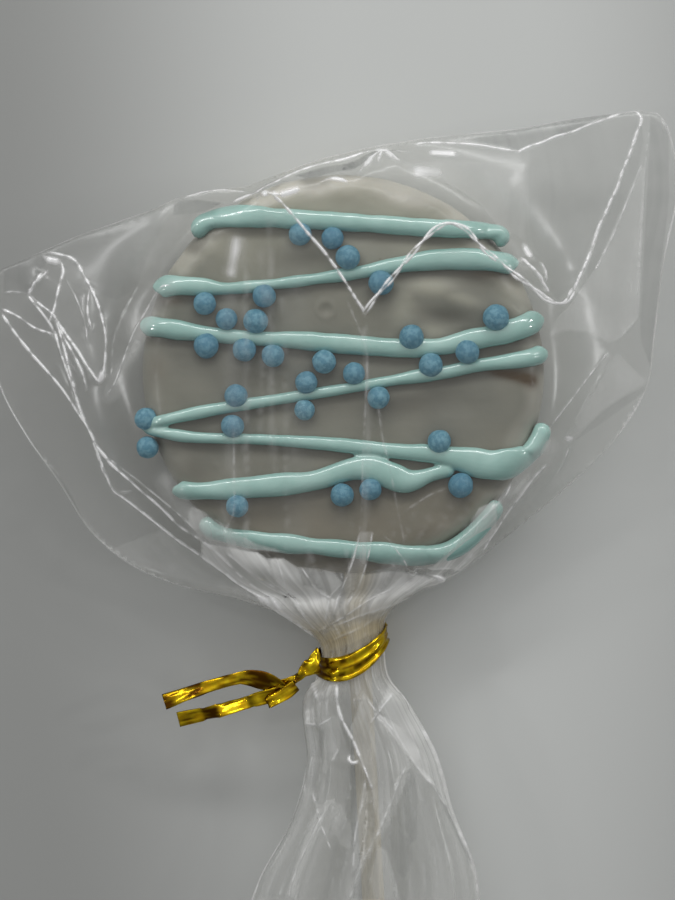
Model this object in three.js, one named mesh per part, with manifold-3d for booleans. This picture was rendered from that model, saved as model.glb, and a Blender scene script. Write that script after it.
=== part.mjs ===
// A flat round cake pop, dipped, drizzled and dotted with sugar pearls, on a paper stick, in a clear bag
// that a foil twist tie closes under it. It lies on its back with the decorated side up and the stick
// towards -Y. Millimetres, +Z up. The shapes are made round the middle of the pop's back, and the last
// lines move the whole so that the origin is under the middle of its box.
import * as THREE from "three";
import { mergeVertices } from "three/addons/utils/BufferGeometryUtils.js";
import Module from "manifold-3d";

// The pop
const POP_RADIUS = 35.2;
const POP_THICKNESS = 13;
const POP_LIFT = 1; // the back of the pop over the ground: the bag's underside and its slack
const SHOULDER = 4.5; // rounding of the front edge
const HEEL = 1.6; // rounding of the back edge
const FRONT = POP_LIFT + POP_THICKNESS;
const STRAND_LIFT = 0.45; // the middle of a drizzle strand over the coating
const PEARL_LIFT = 0.6; // the middle of a pearl over the coating, in pearl radii
const PEARL_ON_DRIZZLE = 0.25; // the share of the drizzle's height that lifts a pearl sunk in it
const DISC_SEGMENTS = 54;

// The stick
const STICK_RADIUS = 2;
const STICK_LENGTH = 150;
const STICK_DEPTH = 30; // how far it goes into the pop
const STICK_TOP = STICK_DEPTH - POP_RADIUS;
const MIDDLE = POP_LIFT + POP_THICKNESS / 2; // height of the stick's axis and of the bag's seam plane
const GAP = 0.3; // clearance between one piece and the next

// The bag
const WING_DEPTH = 0.8; // half the thickness that stands for the two sheets of film
const PILLOW = 11; // how much further the film stands off over the pop, up and down
const PILLOW_START = 32;
const PILLOW_END = 56;
const HEM_SHARE = 0.6; // the part of it that is left at the top edge, which is tight over the rim
const WING_CURL = 2.2; // how far the free corners curl out of the seam plane
const CURL_START = 40;
const CURL_END = 64;
const FLAT_POWER = 12; // exponent of a flat cross section's outline
const ROUND_POWER = 2; // and of a round one
const POCKET_RADIUS = 38.7;
const POCKET_TIGHT_RADIUS = 36.1; // at the top, where no drizzle hangs over the rim
const POCKET_TOP = 18.3;
const BAG_COLUMNS = 20;
const BAG_ROWS = 38;

// The twist tie
const FOIL_WIDTH = 3.8;
const FOIL_THICKNESS = 0.6;
const LOOP_CENTRE = new THREE.Vector3(-1.2, -48.3, MIDDLE);
const LOOP_REACH = 6.6; // half the loop's width, to the middle of the foil
const LOOP_DEPTH = 5.8;
const LOOP_SLANT = THREE.MathUtils.degToRad(20);
const LOOP_DIP = 1.9; // how far the front of the loop hangs under its ends, and the back stands over them
const LOOP_SAG = 1; // how far the front hangs further than that, and the back less

// Each strand of drizzle runs from rim to rim: x, y and width at the points where it bends or swells.
const STRANDS = [
  [[-24.6, 25.9, 2.6], [-19.5, 28.5, 4.1], [-8.5, 27.5, 3.5], [5.5, 25.9, 3.2], [26, 23.5, 3.4],
    [29.3, 22.6, 2.9], [30.4, 19.5, 1.8]],
  [[-33, 16.4, 2.6], [-28, 17.1, 3.8], [-18.5, 15.9, 2.1], [-6.5, 16.5, 2.1], [4, 17.4, 2.3],
    [17.3, 18.8, 3.8], [29, 17.9, 3.6], [33.6, 15.6, 2]],
  [[-35.8, 10.5, 3], [-30, 9.6, 3.4], [-18, 7.4, 2.6], [-3, 5.5, 3.5], [13, 3.6, 3.3],
    [22, 4.3, 3.6], [28, 4.9, 4.2], [35.8, 6.9, 3]],
  [[-34, -7, 2.2], [-24.5, -5.3, 2.3], [-8, -3.6, 2.1], [7, -2, 1.9], [18, -0.9, 2.6],
    [23, -0.1, 2.2], [33.5, 0.7, 3.2], [36.4, 2.6, 2.5]],
  [[-35, -6.4, 2], [-33.6, -8.6, 2.3], [-15, -10.8, 2], [-3, -12.3, 2.6], [14.5, -15, 3.2],
    [26.5, -17.6, 5.2], [31.8, -16.2, 4], [34.8, -11.4, 2.6]],
  [[-31.6, -17.4, 1.8], [-27, -19.1, 3.2], [-13, -18.9, 4.2], [-5, -18.3, 3.5], [3.5, -16.4, 3.9],
    [9.5, -19.4, 3.7], [14, -18.4, 1.9], [19, -17.3, 1.6]],
  [[-26.4, -23.8, 1.8], [-23, -26.9, 3], [-15.5, -28.6, 3.3], [-4, -30.4, 3], [10.5, -32.7, 4.2],
    [18.5, -31.3, 3.6], [26.2, -24.2, 1.8]],
];

// Sugar pearls: x, y and diameter.
const PEARLS = [
  [-6.1, 24.6, 4], [-0.5, 23.6, 3.9], [2, 20.1, 4.3], [7.5, 15.3, 4.4], [-23.4, 13.5, 4],
  [-13, 14.2, 4.1], [-19.8, 10.6, 3.8], [-14.7, 9.9, 4.3], [-23.6, 6.1, 4.4], [-17, 5, 4.1],
  [-12.1, 3.7, 4], [-3.2, 2.1, 4.2], [-6.5, -1.3, 3.9], [-7.1, -6.1, 3.6], [-18.9, -2.9, 4],
  [-19.8, -8.2, 4], [-35, -6, 3.9], [-35, -11, 3.9], [12.3, 5.6, 4.3], [15.4, 0.5, 4.2],
  [21.9, 2.4, 4.2], [27.2, 8.1, 4.6], [1.9, -0.2, 3.9], [5.9, -4.7, 3.9], [16.1, -12.9, 4],
  [19.4, -20.8, 4.4], [-1.4, -21.3, 4.1], [3.6, -20.6, 3.9], [-19.8, -22.2, 3.9],
];

// The bag's outline, as cross lines from its top edge to its open mouth: the left and the right end of
// each line, the film's half depth there, how far the line bows upwards, and how round the section is.
const BAG_LINES = [
  { left: [-61, 21.2], right: [58, 42.6], depth: 0.6, bow: 6.2, round: 0 },
  { left: [-61.4, 18.6], right: [59.8, 39.6], depth: WING_DEPTH, bow: 6, round: 0 },
  { left: [-61.5, 10], right: [60.8, 29], depth: WING_DEPTH, bow: 4, round: 0 },
  { left: [-60.5, 1], right: [57.5, 16], depth: WING_DEPTH, bow: 2, round: 0 },
  { left: [-56.3, -8], right: [55.2, 3.1], depth: WING_DEPTH, bow: 1, round: 0 },
  { left: [-51, -16.5], right: [53.2, -6], depth: WING_DEPTH, bow: 0, round: 0 },
  { left: [-46, -25.3], right: [46.6, -15.2], depth: WING_DEPTH, bow: 0, round: 0 },
  { left: [-39, -31.8], right: [37, -23.4], depth: 1.7, bow: 0, round: 0.1 },
  { left: [-30.5, -35.9], right: [28.3, -29.6], depth: 2.8, bow: 0, round: 0.2 },
  { left: [-21, -38.4], right: [19, -36], depth: 3.8, bow: 0, round: 0.4 },
  { left: [-13.6, -41], right: [10.6, -40.1], depth: 6, bow: 0, round: 0.8 },
  { left: [-9, -44.6], right: [4.2, -43.3], depth: 4.9, bow: 0, round: 1 },
  { left: [-6.2, -48.6], right: [3.8, -45.8], depth: 4.7, bow: 0, round: 1 },
  { left: [-6.2, -54], right: [3.9, -53.4], depth: 4.7, bow: 0, round: 1 },
  { left: [-9.8, -58.6], right: [8, -58.4], depth: 5.2, bow: 0, round: 1 },
  { left: [-10.8, -68], right: [13, -68], depth: 5.6, bow: 0, round: 1 },
  { left: [-13.4, -78], right: [15.7, -78], depth: 6, bow: 0, round: 1 },
  { left: [-19.2, -88], right: [18.2, -88], depth: 6.5, bow: 0, round: 1 },
  { left: [-23.6, -97.5], right: [18.9, -97.5], depth: 7, bow: 0, round: 1 },
  { left: [-25.2, -106], right: [18.5, -106], depth: 7.2, bow: 0, round: 1 },
];
const SKIRT_FOLDS = 5; // folds across each side of the flared skirt
const FOLD_SHARE = 0.16;

const { lerp, smoothstep } = THREE.MathUtils;
const wasm = await Module();
wasm.setup();

// A closed geometry as a solid that can be joined and cut.
function solidOf(geometry) {
  const bare = geometry.clone();
  bare.deleteAttribute("normal");
  bare.deleteAttribute("uv");
  const merged = mergeVertices(bare, 1e-3);
  const corners = merged.index.array;
  const triangles = [];
  for (let i = 0; i < corners.length; i += 3) {
    const [a, b, c] = [corners[i], corners[i + 1], corners[i + 2]];
    if (a !== b && b !== c && c !== a) triangles.push(a, b, c);
  }
  return new wasm.Manifold(
    new wasm.Mesh({
      numProp: 3,
      vertProperties: merged.attributes.position.array,
      triVerts: Uint32Array.from(triangles),
    }),
  );
}

// The largest body of a solid alone: loose scraps go, and a hollow that joining has sealed is filled.
function wholeOf(solid) {
  return solid.decompose().reduce((best, body) => (body.volume() > best.volume() ? body : best));
}

// A solid as a geometry, with plain normals for display.
function geometryOf(solid) {
  const { numProp, numVert, vertProperties, triVerts } = solid.getMesh();
  const positions = new Float32Array(numVert * 3);
  for (let i = 0; i < numVert; i++)
    positions.set(vertProperties.subarray(i * numProp, i * numProp + 3), i * 3);
  const geometry = new THREE.BufferGeometry();
  geometry.setAttribute("position", new THREE.BufferAttribute(positions, 3));
  geometry.setIndex(new THREE.BufferAttribute(triVerts, 1));
  geometry.computeVertexNormals();
  return geometry;
}

// Moves every vertex of a geometry to place(x, y, z).
function reshape(geometry, place) {
  const { position } = geometry.attributes;
  for (let i = 0; i < position.count; i++) {
    const moved = place(position.getX(i), position.getY(i), position.getZ(i), i);
    position.setXYZ(i, moved.x, moved.y, moved.z);
  }
  return geometry;
}

// A closed body along a curve with blunt ends: section(along, angle) gives the offsets of its skin across
// the curve and out along up(point), the way that its outer side faces.
function sweep(curve, up, section, sides, steps) {
  const skin = new THREE.SphereGeometry(1, sides, steps);
  const { uv } = skin.attributes;
  return reshape(skin, (x, y, z, i) => {
    const down = 1 - uv.getY(i);
    const along = THREE.MathUtils.clamp((down * steps - 1) / (steps - 2), 0, 1);
    const point = curve.getPoint(along);
    if (down < 1e-6 || down > 1 - 1e-6) return point;
    const tangent = curve.getTangent(along);
    const across = new THREE.Vector3().crossVectors(tangent, up(point)).normalize();
    const out = new THREE.Vector3().crossVectors(across, tangent).normalize();
    const offset = section(along, uv.getX(i) * 2 * Math.PI);
    return point.addScaledVector(across, offset.x).addScaledVector(out, offset.y);
  });
}

// The point that stands lift above the coating, over (x, y) on the face or beside it on the rounded edge.
function onCoating(x, y, lift) {
  const flat = POP_RADIUS - SHOULDER;
  const distance = Math.hypot(x, y);
  if (distance <= flat) return new THREE.Vector3(x, y, FRONT + lift);
  const reach = SHOULDER + lift;
  const over = Math.min(distance - flat, reach);
  const past = Math.max(distance - flat - reach, 0);
  const scale = (flat + over) / distance;
  return new THREE.Vector3(
    x * scale,
    y * scale,
    FRONT - SHOULDER + Math.sqrt(reach * reach - over * over) - 3 * past,
  );
}

// The way that the coating faces at a point on or above it.
function coatingOut(point) {
  const flat = POP_RADIUS - SHOULDER;
  const distance = Math.hypot(point.x, point.y);
  if (distance <= flat) return new THREE.Vector3(0, 0, 1);
  const edge = new THREE.Vector3(point.x, point.y, 0).multiplyScalar(flat / distance);
  edge.z = FRONT - SHOULDER;
  return point.clone().sub(edge).normalize();
}

// The dipped body: a thick disc with a round shoulder, a smaller heel, and the slight unevenness of dipping.
function discGeometry() {
  const profile = [new THREE.Vector2(0, POP_LIFT)];
  const arcSteps = 5;
  for (let i = 0; i <= 2; i++) {
    const turn = (i / 2) * (Math.PI / 2);
    profile.push(
      new THREE.Vector2(
        POP_RADIUS - HEEL + HEEL * Math.sin(turn),
        POP_LIFT + HEEL - HEEL * Math.cos(turn),
      ),
    );
  }
  for (let i = 0; i <= arcSteps; i++) {
    const turn = (i / arcSteps) * (Math.PI / 2);
    profile.push(
      new THREE.Vector2(
        POP_RADIUS - SHOULDER + SHOULDER * Math.cos(turn),
        FRONT - SHOULDER + SHOULDER * Math.sin(turn),
      ),
    );
  }
  profile.push(new THREE.Vector2(POP_RADIUS * 0.6, FRONT));
  profile.push(new THREE.Vector2(0, FRONT));
  const disc = new THREE.LatheGeometry(profile, DISC_SEGMENTS).rotateX(Math.PI / 2);
  return reshape(disc, (x, y, z) => {
    const angle = Math.atan2(y, x);
    const stretch = 1 + 0.004 * Math.cos(2 * angle + 0.6) + 0.003 * Math.cos(3 * angle - 1);
    return new THREE.Vector3(x * stretch, y * stretch, z);
  });
}

// One strand of drizzle, lying along the coating and running down over the rim at its ends.
function strandGeometry(points) {
  const path = new THREE.CatmullRomCurve3(
    points.map(([x, y]) => onCoating(x, y, STRAND_LIFT)),
  );
  const widths = new THREE.CatmullRomCurve3(points.map(([, , w]) => new THREE.Vector3(w, 0, 0)));
  const section = (along, angle) => {
    const half = widths.getPoint(along).x / 2;
    const height = Math.min(0.5 + 0.4 * half, 1.3);
    return { x: half * Math.cos(angle), y: height * Math.sin(angle) };
  };
  return sweep(path, coatingOut, section, 8, 3 * points.length);
}

// How far the drizzle stands over the coating at (x, y).
function drizzleHeight(x, y) {
  let highest = 0;
  for (const points of STRANDS) {
    const line = new THREE.CatmullRomCurve3(points.map(([px, py, w]) => new THREE.Vector3(px, py, w)));
    for (const sample of line.getPoints(100)) {
      const share = Math.hypot(x - sample.x, y - sample.y) / (sample.z / 2);
      if (share < 1) highest = Math.max(highest, 1.5 * Math.sqrt(1 - share * share));
    }
  }
  return highest;
}

function pearlGeometry([x, y, diameter]) {
  const radius = diameter / 2;
  const middle = onCoating(x, y, PEARL_LIFT * radius + PEARL_ON_DRIZZLE * drizzleHeight(x, y));
  return new THREE.IcosahedronGeometry(radius, 1).translate(middle.x, middle.y, middle.z);
}

// A round bar along Y at the stick's height, from y = top down to y = bottom.
function barGeometry(radius, top, bottom) {
  return new THREE.CylinderGeometry(radius, radius, top - bottom, 20).translate(
    0,
    (top + bottom) / 2,
    MIDDLE,
  );
}

function popSolid() {
  let pop = solidOf(discGeometry());
  for (const points of STRANDS) pop = pop.add(solidOf(strandGeometry(points)));
  for (const pearl of PEARLS) pop = pop.add(solidOf(pearlGeometry(pearl)));
  const hole = solidOf(barGeometry(STICK_RADIUS + GAP, STICK_TOP + GAP, -POP_RADIUS - 5));
  return wholeOf(pop.subtract(hole));
}

const bagEdges = {
  left: new THREE.CatmullRomCurve3(BAG_LINES.map(({ left: [x, y] }) => new THREE.Vector3(x, y, 0))),
  right: new THREE.CatmullRomCurve3(BAG_LINES.map(({ right: [x, y] }) => new THREE.Vector3(x, y, 0))),
  form: new THREE.CatmullRomCurve3(
    BAG_LINES.map(({ depth, bow, round }) => new THREE.Vector3(depth, bow, round)),
  ),
};
const LAST_LINE = BAG_LINES.length - 1;
const NECK_LINE = 13; // the cross line just under the tie, where the skirt begins

// A point on the film: across from -1 to 1, along from 0 at the top edge to 1 at the mouth, side 1 or -1.
function filmPoint(across, along, side) {
  const left = bagEdges.left.getPoint(along);
  const right = bagEdges.right.getPoint(along);
  const form = bagEdges.form.getPoint(along);
  const round = THREE.MathUtils.clamp(form.z, 0, 1);
  const reach = lerp(across, Math.sin((across * Math.PI) / 2), round);
  const x = lerp(left.x, right.x, (reach + 1) / 2);
  const y = lerp(left.y, right.y, (reach + 1) / 2) + form.y * (1 - reach * reach);
  const distance = Math.hypot(x, y);
  const power = lerp(FLAT_POWER, ROUND_POWER, round);
  const edge = Math.sqrt(Math.max(1 - Math.abs(reach) ** power, 0));
  const flare = smoothstep(along * LAST_LINE, NECK_LINE, LAST_LINE);
  const folds = 1 + FOLD_SHARE * flare * Math.cos(SKIRT_FOLDS * Math.PI * across + side);
  const hem = lerp(HEM_SHARE, 1, Math.min(along * LAST_LINE, 1));
  const pillow = PILLOW * hem * (1 - round) * (1 - smoothstep(distance, PILLOW_START, PILLOW_END));
  const wave = Math.sin(2 * Math.atan2(y, x) + 0.8);
  const seam = MIDDLE + WING_CURL * smoothstep(distance, CURL_START, CURL_END) * wave * (1 - round);
  return new THREE.Vector3(x, y, Math.max(seam + side * edge * (form.x * folds + pillow), 0));
}

// The bag's outer form as one closed body: two sheets of film that meet along the sides.
function filmGeometry() {
  const block = new THREE.BoxGeometry(2, 2, 2, BAG_COLUMNS, BAG_ROWS, 1);
  return reshape(block, (x, y, z) => filmPoint(x, (1 - y) / 2, z));
}

// The space inside the bag that the pop fills, with the way out for the stick.
function pocketSolid() {
  const profile = [
    [0, POP_LIFT - GAP],
    [POP_RADIUS - 0.6, POP_LIFT - GAP],
    [POP_RADIUS + 0.6, POP_LIFT + 0.5],
    [POCKET_RADIUS, POP_LIFT + SHOULDER],
    [POCKET_RADIUS, FRONT - 2],
    [POP_RADIUS + 1.8, FRONT + 1.8],
    [POP_RADIUS - 3, POCKET_TOP],
    [0, POCKET_TOP],
  ].map(([r, z]) => new THREE.Vector2(r, z));
  const room = new THREE.LatheGeometry(profile, 48).rotateX(Math.PI / 2);
  reshape(room, (x, y, z) => {
    const radius = Math.max(Math.hypot(x, y), 1e-6);
    const most = lerp(POCKET_RADIUS, POCKET_TIGHT_RADIUS, smoothstep(y / radius, 0.8, 0.97));
    const scale = Math.min(most / radius, 1);
    return new THREE.Vector3(x * scale, y * scale, z);
  });
  return solidOf(room).add(solidOf(barGeometry(STICK_RADIUS + GAP, -POP_RADIUS + 3, -STICK_LENGTH)));
}

// The loop of foil round the neck: slanting up to the right, its front dipping towards the skirt. The
// foil lies flat against the neck, and is gathered a little narrower at the right.
function loopGeometry() {
  const sideways = new THREE.Vector3(Math.cos(LOOP_SLANT), Math.sin(LOOP_SLANT), 0);
  const forwards = new THREE.Vector3(0, 0, 1);
  const downNeck = new THREE.Vector3(0, -1, 0);
  const ring = new THREE.TorusGeometry(2, 1, 4, 40);
  const { uv } = ring.attributes;
  return reshape(ring, (x, y, z, i) => {
    const turn = uv.getX(i) * 2 * Math.PI;
    const corner = (uv.getY(i) + 0.125) * 2 * Math.PI;
    const crease = 0.2 * (1 + Math.sin(5 * turn));
    const out = Math.SQRT2 * Math.cos(corner) * (FOIL_THICKNESS / 2) + crease;
    const wide = Math.SQRT2 * Math.sin(corner) * (FOIL_WIDTH / 2) * (1 - 0.25 * Math.cos(turn));
    return LOOP_CENTRE.clone()
      .addScaledVector(sideways, (LOOP_REACH + out) * Math.cos(turn))
      .addScaledVector(forwards, (LOOP_DEPTH + out) * Math.sin(turn))
      .addScaledVector(downNeck, wide + LOOP_DIP * Math.sin(turn) + LOOP_SAG * Math.sin(turn) ** 2);
  });
}

// A length of the twist tie through points: half its width and thickness, and how often it is twisted.
function foilGeometry(points, halfWidth, halfThickness, turns) {
  const path = new THREE.CatmullRomCurve3(points.map((p) => new THREE.Vector3(...p)));
  const section = (along, angle) => {
    const squared = Math.max(Math.abs(Math.cos(angle)), Math.abs(Math.sin(angle)));
    const x = (halfWidth * Math.cos(angle)) / squared;
    const y = (halfThickness * Math.sin(angle)) / squared;
    const twist = turns * 2 * Math.PI * along;
    return {
      x: x * Math.cos(twist) - y * Math.sin(twist),
      y: x * Math.sin(twist) + y * Math.cos(twist),
    };
  };
  return sweep(path, () => new THREE.Vector3(0, 0, 1), section, 8, 14);
}

function tieSolid() {
  const root = [[-7.9, -50.7, 8.5], [-9.6, -51.9, 9.6], [-12.6, -53.4, 10.6], [-16, -55.4, 10.8]];
  const upper = [[-13.6, -53.9, 10.7], [-15.8, -52.2, 11.2], [-18.4, -51.5, 11.2], [-21.5, -52.1, 10.9],
    [-34.4, -56.1, 9.6]];
  const lower = [[-14.6, -55, 10.7], [-18, -56.5, 10.6], [-32.4, -59.2, 8.6]];
  return solidOf(loopGeometry())
    .add(solidOf(foilGeometry(root, 1.3, 0.8, 1.5)))
    .add(solidOf(foilGeometry(upper, 1.45, 0.25, 0)))
    .add(solidOf(foilGeometry(lower, 1.5, 0.25, 0)));
}

const finishes = {
  coating: { color: 0xe8e1d2, roughness: 0.45, metalness: 0 },
  paper: { color: 0xe9e4d6, roughness: 0.85, metalness: 0 },
  film: { color: 0xf2f5f5, roughness: 0.08, metalness: 0, transparent: true, opacity: 0.25 },
  foil: { color: 0xd8b120, roughness: 0.25, metalness: 1 },
};

function piece(name, geometry, finish) {
  const mesh = new THREE.Mesh(geometry, new THREE.MeshStandardMaterial(finishes[finish]));
  mesh.name = name;
  return mesh;
}

const pieces = new THREE.Group();
pieces.add(piece("pop", geometryOf(popSolid()), "coating"));
pieces.add(piece("stick", barGeometry(STICK_RADIUS, STICK_TOP, STICK_TOP - STICK_LENGTH), "paper"));
pieces.add(piece("bag", geometryOf(solidOf(filmGeometry()).subtract(pocketSolid())), "film"));
pieces.add(piece("twist_tie", geometryOf(tieSolid()), "foil"));

// The origin goes under the middle of the whole.
const box = new THREE.Box3().setFromObject(pieces);
const middle = box.getCenter(new THREE.Vector3());
pieces.position.set(-middle.x, -middle.y, -box.min.z);
const group = new THREE.Group();
group.add(pieces);

export default group;
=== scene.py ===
"""A dipped cake pop with drizzle and sugar pearls, in a clear bag that a foil twist tie closes.

The shapes are worked out in millimetres about the middle of the pop's back, with the stick towards -Y and
the decorated face up, and are moved onto the frame's stick at the end.
"""

import math
from collections import namedtuple

import bpy
import numpy as np
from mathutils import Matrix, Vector
from mathutils.geometry import delaunay_2d_cdt


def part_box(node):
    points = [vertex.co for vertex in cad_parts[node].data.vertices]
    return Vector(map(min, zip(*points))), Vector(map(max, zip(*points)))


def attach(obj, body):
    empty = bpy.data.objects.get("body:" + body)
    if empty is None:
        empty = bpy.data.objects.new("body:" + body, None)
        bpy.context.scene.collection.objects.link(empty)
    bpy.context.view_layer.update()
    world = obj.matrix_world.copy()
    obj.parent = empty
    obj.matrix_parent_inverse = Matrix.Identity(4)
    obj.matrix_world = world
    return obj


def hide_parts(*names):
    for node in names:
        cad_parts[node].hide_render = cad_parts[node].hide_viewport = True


bl_info = {
    "name": "Cake pop",
    "version": (1, 0, 0),
    "blender": (4, 5, 0),
    "location": "3D View > Sidebar > Cake pop",
    "description": "Builds a dipped cake pop in a clear bag, piece by piece",
    "category": "Object",
}

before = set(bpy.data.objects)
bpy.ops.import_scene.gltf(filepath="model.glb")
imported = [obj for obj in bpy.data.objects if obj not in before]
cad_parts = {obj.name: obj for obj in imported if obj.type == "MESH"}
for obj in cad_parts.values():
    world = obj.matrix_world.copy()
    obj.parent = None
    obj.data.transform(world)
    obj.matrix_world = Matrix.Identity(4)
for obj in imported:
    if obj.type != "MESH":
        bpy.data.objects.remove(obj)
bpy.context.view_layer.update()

MM = 0.001
BODY = "root"

# The pop
POP_RADIUS = 35.2
POP_LIFT = 1.0
FRONT = 14.0
SHOULDER = 4.5
HEEL = 1.6
FLAT_RADIUS = POP_RADIUS - SHOULDER
STRAND_SINK = 0.1
JUT_HEIGHT = 2.6
PEARL_LIFT = 0.6
PEARL_ON_DRIZZLE = 0.25

# The stick, whose inner end is this far below the middle of the pop
STICK_START = 5.2
STICK_LOW, STICK_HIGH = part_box("stick")
MIDDLE = (STICK_LOW.z + STICK_HIGH.z) / 2 / MM
ORIGIN = np.array(((STICK_LOW.x + STICK_HIGH.x) / 2, STICK_HIGH.y + STICK_START * MM, 0.0))

# How the photograph lies on the pop's face: its pixel at the middle, its scale and its turn
PHOTO_MIDDLE = (343.0, 373.0)
PHOTO_SCALE = 0.175
PHOTO_TURN = math.radians(3.3)

# Each strand of drizzle runs from rim to rim: x, y and width at the points where it bends or swells.
STRANDS = [
    [(-24.8, 25.4, 3.2), (-22.5, 27.8, 4), (-17.5, 28.5, 4.3), (-8.5, 27.5, 3.6), (5.5, 25.9, 3.3),
     (16, 24.5, 3.4), (26, 23.5, 3.4), (28.8, 22.7, 3), (29.7, 20.6, 2.6)],
    [(-32.1, 16.3, 4.4), (-29.5, 17, 4.3), (-23.5, 16.4, 3.1), (-18.5, 15.9, 2.2), (-6.5, 16.5, 2.2),
     (4, 17.4, 2.4), (11, 18.3, 3.1), (17.3, 18.8, 3.8), (24, 18.5, 3.9), (29, 17.7, 4),
     (31.6, 16.9, 4.3)],
    [(-34.7, 10.4, 4), (-32, 9.9, 3.8), (-22.5, 8, 2.9), (-14, 6.8, 2.7), (-8, 6.2, 3.3), (-3, 5.5, 3.6),
     (5, 4.4, 3.5), (11, 3.7, 3.4), (17, 3.6, 3.4), (22, 4.4, 3.7), (27, 5.1, 4.3), (32, 6.3, 4.1),
     (35.2, 7.9, 4.3)],
    [(-34.2, -8.2, 2), (-34, -7, 2.2), (-24.5, -5.3, 2.3), (-10, -3.8, 2.1), (1, -2.7, 2.1), (7, -2, 2),
     (12.3, -1.4, 2.5), (18, -0.9, 2.6), (23, -0.1, 2.4), (28.5, 0.3, 2.8), (33, 0.8, 3.5),
     (35.7, 1.7, 3.9)],
    [(-34.2, -7, 2), (-34, -8, 2.2), (-27, -9.7, 2.1), (-15, -10.8, 2), (-3, -12.3, 2.6),
     (8.5, -14.2, 2.8), (14.5, -15, 3.4), (19.5, -16.2, 4.4), (24.5, -17.5, 5.8), (28.5, -17.4, 5.7),
     (32, -15.7, 4.3), (34, -12.9, 3.3), (34.6, -10.6, 2.9)],
    [(-30.8, -18.1, 3), (-29, -18.9, 3.3), (-24.5, -19.2, 3.4), (-13, -18.9, 4.2), (-6, -18.5, 3.7),
     (0.5, -16.9, 4), (4, -17.1, 5), (7.2, -18.4, 5.2), (9.6, -19.4, 4.4), (11.6, -19.4, 3.6),
     (14.5, -18.6, 2.8), (18.5, -17.8, 2.6)],
    [(-26.3, -24, 2.6), (-24.3, -26.3, 3.4), (-20.5, -27.6, 3.2), (-15.5, -28.6, 3.4), (-4, -30.4, 3.2),
     (5, -31.8, 3.7), (10.5, -32.7, 4.3), (16, -32.4, 4), (20, -30.5, 3.8), (24.3, -26.5, 3.2),
     (26.2, -24, 2.6)],
]

# Sugar pearls: x, y and diameter.
PEARLS = [
    (-6.1, 24.6, 4), (-0.5, 23.6, 3.9), (2, 20.1, 4.3), (7.5, 15.3, 4.4), (-23.4, 13.5, 4),
    (-13, 14.2, 4.1), (-19.8, 10.6, 3.8), (-14.7, 9.9, 4.3), (-23.6, 6.1, 4.4), (-17, 5, 4.1),
    (-12.1, 3.7, 4), (-3.2, 2.1, 4.2), (-6.5, -1.3, 3.9), (-7.1, -6.1, 3.6), (-18.9, -2.9, 4),
    (-19.8, -8.2, 4), (-35, -6, 3.9), (-35, -11, 3.9), (12.3, 5.6, 4.3), (15.4, 0.5, 4.2),
    (21.9, 2.4, 4.2), (27.2, 8.1, 4.6), (1.9, -0.2, 3.9), (5.9, -4.7, 3.9), (16.1, -12.9, 4),
    (19.4, -20.8, 4.4), (-1.4, -21.3, 4.1), (3.6, -20.6, 3.9), (-19.8, -22.2, 3.9),
]

# The bag's outline, as cross lines from its top edge to its open mouth: the left and the right end of each
# line, the film's half depth there, how far the line bows upwards, and how round the section is.
BAG_LINES = np.array([
    (-61, 21.2, 58, 42.6, 0.6, 6.2, 0), (-61.4, 18.6, 59.8, 39.6, 0.8, 6, 0),
    (-61.5, 10, 60.8, 29, 0.8, 4, 0), (-60.5, 1, 57.5, 16, 0.8, 2, 0), (-56.3, -8, 55.2, 3.1, 0.8, 1, 0),
    (-51, -16.5, 53.2, -6, 0.8, 0, 0), (-46, -25.3, 46.6, -15.2, 0.8, 0, 0),
    (-39, -31.8, 37, -23.4, 1.7, 0, 0.1), (-30.5, -35.9, 28.3, -29.6, 2.8, 0, 0.2),
    (-21, -38.4, 19, -36, 3.8, 0, 0.4), (-13.6, -41, 9.4, -40, 6, 0, 0.8),
    (-8.8, -44.6, 5.5, -42.9, 5.2, 0, 1), (-6.6, -48.8, 4.7, -46, 5.1, 0, 1),
    (-8, -53.8, 4.9, -53.4, 4.9, 0, 1), (-10.5, -58.3, 8.2, -58.6, 5.2, 0, 1),
    (-10.4, -68, 12.7, -68, 5.6, 0, 1), (-13.6, -78, 15, -78, 6, 0, 1), (-19.8, -88, 18.2, -88, 6.5, 0, 1),
    (-23.6, -97.5, 18.9, -97.5, 7, 0, 1), (-25.2, -106, 18.5, -106, 7.2, 0, 1),
])
LAST_LINE = len(BAG_LINES) - 1
GATHER_LINE = 7
NECK_LINE = 12
SKIRT_LINE = 13

# The bag's top edge, which sags and rises between its corners: x and y.
TOP_EDGE = np.array([
    (-61, 21.2), (-45.6, 27), (-32, 30.9), (-27.2, 32.8), (-22.8, 33.6), (-14.9, 34.1), (-8, 36.3),
    (-1.2, 38.3), (8.7, 39.9), (17.9, 40.8), (33.6, 41.4), (42.2, 42.4), (54.9, 43.3), (58, 42.6),
])

# How sharp a crease is: the height of its broad ridge and that ridge's reach to each side, the height and
# the half width of the pinched line on it, how many such lines twine along it, and how much painted
# highlight the film carries there, as white, partly mirroring film.
Fold = namedtuple("Fold", "ridge reach pinch fine lines glitter")
TWINED = Fold(0.7, 2.6, 0.12, 0.16, 2, 2.6)
SHARP = Fold(0.7, 2.6, 0.12, 0.18, 1, 2.8)
BRIGHT = Fold(0.4, 2.2, 0.1, 0.16, 1, 2.4)
SOFT = Fold(0.28, 2.4, 0.07, 0.14, 1, 0.65)
FAINT = Fold(0.1, 2.0, 0.05, 0.2, 1, 0.2)
# GLINT and GLEAM barely lift the film: they are painted glints and sheens where it mirrors the lamps.
GLINT = Fold(0.05, 1.5, 0.1, 0.35, 1, 2.2)
GLEAM = Fold(0.05, 2.0, 0.05, 0.8, 1, 0.7)
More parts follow.
